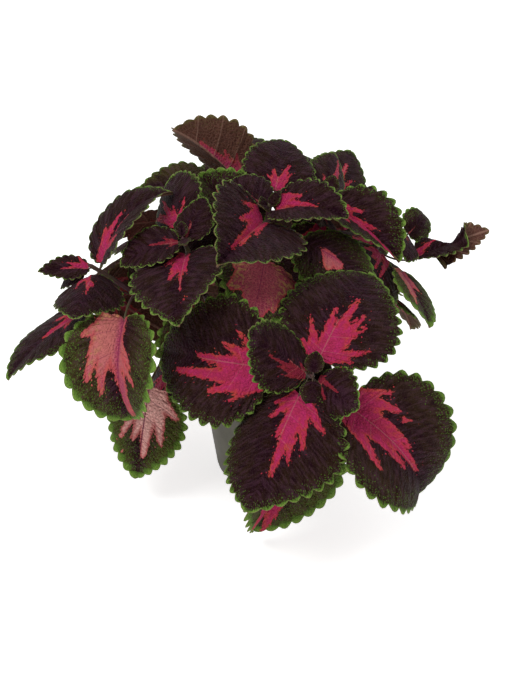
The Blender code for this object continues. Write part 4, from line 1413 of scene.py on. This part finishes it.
# %% [markdown]
# ## The pot
# A thin nursery pot is one turned shell with a band round its rim. The profile below is the wall cut
# through: it runs from the middle of the underside outwards, up the outside, over the lip and down the
# inside to the middle of the floor.

# %% The pot's profile
POT_HEIGHT = 108
POT_FOOT_RADIUS = 47
POT_RIM_RADIUS = 65
POT_WALL = 1.6
POT_FLOOR = 2.2
RIM_BAND_HEIGHT = 14
RIM_BAND_STEP = 2.5
FOOT_ROUNDING = 4
FOOT_HOLLOW = 0.8


def outer_radius(height):
    """The pot's outer wall, without its rim band."""
    return POT_FOOT_RADIUS + (POT_RIM_RADIUS - RIM_BAND_STEP - POT_FOOT_RADIUS) * height / POT_HEIGHT


def pot_profile():
    """The (radius, height) points of the pot's wall, from its underside round to its floor."""
    band_bottom = POT_HEIGHT - RIM_BAND_HEIGHT
    profile = [(0, FOOT_HOLLOW), (POT_FOOT_RADIUS - 9, FOOT_HOLLOW), (POT_FOOT_RADIUS - 8, 0)]
    for turn in np.linspace(0, 90, 7):
        angle = math.radians(turn)
        out = POT_FOOT_RADIUS - FOOT_ROUNDING * (1 - math.sin(angle))
        profile.append((out, FOOT_ROUNDING * (1 - math.cos(angle))))
    for height in np.linspace(FOOT_ROUNDING + 3, band_bottom - 1, 14):
        profile.append((outer_radius(height), height))
    lip = POT_RIM_RADIUS
    profile += [
        (outer_radius(band_bottom) + 0.3, band_bottom - 0.3),
        (lip - 1.0, band_bottom),
        (lip - 0.5, band_bottom + 0.4),
        (lip - 0.35, band_bottom + 1.5),
        (lip - 0.1, POT_HEIGHT - 2.2),
        (lip, POT_HEIGHT - 1.0),
        (lip - 0.2, POT_HEIGHT - 0.3),
        (lip - 0.7, POT_HEIGHT),
        (lip - POT_WALL, POT_HEIGHT - 0.1),
        (lip - POT_WALL - 0.5, POT_HEIGHT - 1.0),
        (lip - POT_WALL - 0.6, band_bottom + 2),
        (outer_radius(band_bottom - 4) - POT_WALL, band_bottom - 4),
        (outer_radius(POT_FLOOR + 3) - POT_WALL - 1, POT_FLOOR + 3),
        (POT_FOOT_RADIUS - POT_WALL - 4, POT_FLOOR),
        (0, POT_FLOOR),
    ]
    return profile


print("points in the pot's profile:", len(pot_profile()))

# %% [markdown]
# A turned body is a profile that goes round the Z axis, as clay does on a wheel. Blender's Screw modifier
# could turn it too. Here the points are placed by a loop, because the soil and its crumbs need the same
# faces with other points.


# %% Turned bodies
def closed_faces(rings, sides):
    """The faces of a closed body. Its bottom point comes first, then its rings, then its top point."""
    faces = []
    last = 1 + (rings - 1) * sides
    for k in range(sides):
        after = (k + 1) % sides
        faces.append((0, 1 + after, 1 + k))
        for lower in range(1, last, sides):
            upper = lower + sides
            faces.append((lower + k, lower + after, upper + after, upper + k))
        faces.append((last + k, last + after, last + sides))
    return faces


def turned_body(profile, sides):
    """A closed profile of (radius, height) turned round Z. Its first and last points lie on the axis."""
    angles = 2 * math.pi * np.arange(sides) / sides
    points = [(0, 0, profile[0][1])]
    for radius, height in profile[1:-1]:
        points += [(radius * math.cos(angle), radius * math.sin(angle), height) for angle in angles]
    points.append((0, 0, profile[-1][1]))
    return points, closed_faces(len(profile) - 2, sides)


print("faces of a ball of 4 rings by 6 sides:", len(closed_faces(4, 6)))

# %% [markdown]
# The plastic is a dull olive grey with faint mottling from its recycled grain. Smears of dust, drawn out
# upwards, make it paler and rougher here and there.

# %% The pot's plastic
DARK_GRAIN = (0.112, 0.108, 0.078, 1)
LIGHT_GRAIN = (0.145, 0.14, 0.104, 1)
DUST = (0.20, 0.195, 0.16, 1)

plastic, sheet, shader = finish_of("olive grey pot plastic", Roughness=0.45)
where = sheet.object_place()
x, y, z = sheet.split(where)
mottle = sheet.noise(where, 45, 4, 0.6)
colour = sheet.mix(sheet.step(mottle, 0.35, 0.7), DARK_GRAIN, LIGHT_GRAIN)
smear = sheet.noise(sheet.vector(x, y, sheet.times(z, 0.25)), 70, 3)
colour = sheet.mix(sheet.step(smear, 0.58, 0.75, 0.0, 0.4), colour, DUST)
sheet.set(shader.inputs["Base Color"], colour)
sheet.set(shader.inputs["Roughness"], sheet.step(smear, 0.3, 0.7, 0.38, 0.56))
bump(sheet, shader, sheet.noise(where, 1400, 2), 0.0001, 0.4)
print("plastic:", plastic.name)

# %% [markdown]
# The six drain holes are cut by six short rods with the Boolean modifier. The result is stored as a mesh of
# its own, and then the modifiers and the rods can go.

# %% The pot and its drain holes
FINE_POT_SIDES = 128
DRAIN_HOLES = 6
DRAIN_RADIUS = 4
DRAIN_RING = 34
DRILL_SIDES = 24
DRILL_ROOM = 2
SHARP_DEGREES = 50

pot_points, pot_faces = turned_body(pot_profile(), FINE_POT_SIDES)
pot = build_piece("nursery_pot", pot_points, pot_faces, (plastic,), [0] * len(pot_faces))
low, high = -DRILL_ROOM, POT_FLOOR + DRILL_ROOM
rod_profile = [(0, low), (DRAIN_RADIUS, low), (DRAIN_RADIUS, high), (0, high)]
rod_points, rod_faces = turned_body(rod_profile, DRILL_SIDES)
rod_finish = [0] * len(rod_faces)
rods = []
for number in range(DRAIN_HOLES):
    centre = DRAIN_RING * direction(360 * (number + 0.5) / DRAIN_HOLES, 0)
    rod = build_piece(f"drill_{number}", np.array(rod_points) + centre, rod_faces, (plastic,), rod_finish)
    cut = pot.modifiers.new(rod.name, "BOOLEAN")
    cut.operation = "DIFFERENCE"
    cut.solver = "EXACT"
    cut.object = rod
    rods.append(rod)
drilled = bpy.data.meshes.new_from_object(pot.evaluated_get(bpy.context.evaluated_depsgraph_get()))
pot.modifiers.clear()
pot.data = drilled
drilled.set_sharp_from_angle(angle=math.radians(SHARP_DEGREES))
for rod in rods:
    bpy.data.objects.remove(rod)
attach(pot, "root")
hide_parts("pot")
print("pot", len(drilled.polygons), "faces")

# %% [markdown]
# ## The soil
# Potting soil is peat and bark in crumbs, with a few white grains of perlite. A lumpy bed fills the pot and
# crumbs are pressed into it, each a small ball that is knocked out of round.

# %% The bed of soil
BED_RADIUS = outer_radius(SOIL_TOP) - POT_WALL - 0.5
BED_RINGS = 40
BED_SIDES = 120
BED_DEPTH = 20
BED_CROWN = 2.5
BED_SEED = 8


def bed_height(x, y):
    """The height of the bed: a low crown with wide waves and small lumps."""
    rng = np.random.default_rng(BED_SEED)
    crown = BED_CROWN * (1 - (np.hypot(x, y) / BED_RADIUS) ** 2)
    return SOIL_TOP - 1.5 + crown + 0.6 * ripple(x, y, rng, 22) + 0.35 * ripple(x, y, rng, 5, 8)


bottom = SOIL_TOP - BED_DEPTH
top_rings = [(BED_RADIUS * k / BED_RINGS, 0) for k in range(BED_RINGS, 0, -1)]
bed_points, bed_faces = turned_body([(0, bottom), (BED_RADIUS - 6, bottom), *top_rings, (0, 0)], BED_SIDES)
bed_points = np.array(bed_points, float)
upper = np.arange(len(bed_points)) > BED_SIDES
bed_points[upper, 2] = bed_height(bed_points[upper, 0], bed_points[upper, 1])
print("bed of soil", len(bed_faces), "faces")

# %% [markdown]
# Every crumb and every grain of perlite is a ball of four rings, whose points are pushed in and out by
# chance. The square root in its distance from the middle spreads the crumbs evenly over the round bed.

# %% Crumbs and perlite
CRUMBS = 500
PERLITE = 40
CRUMB_SEED = 5
CRUMB_SIZES = (0.7, 2.4)
CRUMB_SIDES = 6
CRUMB_TILTS = (-50, -10, 30, 60)
PEAT_FINISH, PERLITE_FINISH = 0, 1


def crumb(centre, size, rng):
    """A rough ball of 4 rings by 6 sides."""
    points = [centre + size * np.array([0, 0, -0.8])]
    for tilt in CRUMB_TILTS:
        for turn in range(0, 360, 360 // CRUMB_SIDES):
            points.append(centre + size * rng.uniform(0.75, 1.2) * direction(turn + tilt, tilt))
    points.append(centre + size * np.array([0, 0, 0.9]))
    return points, closed_faces(len(CRUMB_TILTS), CRUMB_SIDES)


rng = np.random.default_rng(CRUMB_SEED)
points, faces = [bed_points], list(bed_faces)
face_finish = [PEAT_FINISH] * len(bed_faces)
count = len(bed_points)
for number in range(CRUMBS + PERLITE):
    size = rng.uniform(*CRUMB_SIZES)
    distance = (BED_RADIUS - 2.5) * math.sqrt(rng.uniform())
    turn = rng.uniform(0, 2 * math.pi)
    x, y = distance * math.cos(turn), distance * math.sin(turn)
    centre = np.array([x, y, bed_height(np.array([x]), np.array([y]))[0] + 0.2 * size])
    part_points, part_faces = crumb(centre, size, rng)
    points.append(np.array(part_points))
    faces += [tuple(k + count for k in face) for face in part_faces]
    face_finish += [PERLITE_FINISH if number >= CRUMBS else PEAT_FINISH] * len(part_faces)
    count += len(part_points)
print("crumbs and grains:", CRUMBS + PERLITE)

# %% [markdown]
# Moist peat is nearly black, and its fine grain is both its colour and its relief. Perlite is a chalky
# white with small pores.

# %% Peat, perlite and the soil piece
DARK_PEAT = (0.012, 0.007, 0.004, 1)
BROWN_PEAT = (0.045, 0.026, 0.015, 1)
PERLITE_PORE = (0.4, 0.38, 0.34, 1)
PERLITE_WHITE = (0.62, 0.6, 0.55, 1)

peat, sheet, shader = finish_of("moist potting soil", Roughness=0.9)
where = sheet.object_place()
grain = sheet.noise(where, 500, 4, 0.7)
sheet.set(shader.inputs["Base Color"], sheet.mix(sheet.step(grain, 0.35, 0.65), DARK_PEAT, BROWN_PEAT))
bump(sheet, shader, grain, 0.0008)

perlite, sheet, shader = finish_of("perlite grain", Roughness=0.85)
where = sheet.object_place()
pores = sheet.noise(where, 1200, 2)
sheet.set(shader.inputs["Base Color"], sheet.mix(sheet.step(pores, 0.4, 0.6), PERLITE_PORE, PERLITE_WHITE))
bump(sheet, shader, pores, 0.0004)

soil = build_piece("potting_soil", np.vstack(points), faces, (peat, perlite), face_finish)
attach(soil, "root")
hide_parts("soil")
print("soil", len(faces), "faces")

# %% [markdown]
# ## The size
# The dressed plant has to fill the same box as the CAD.
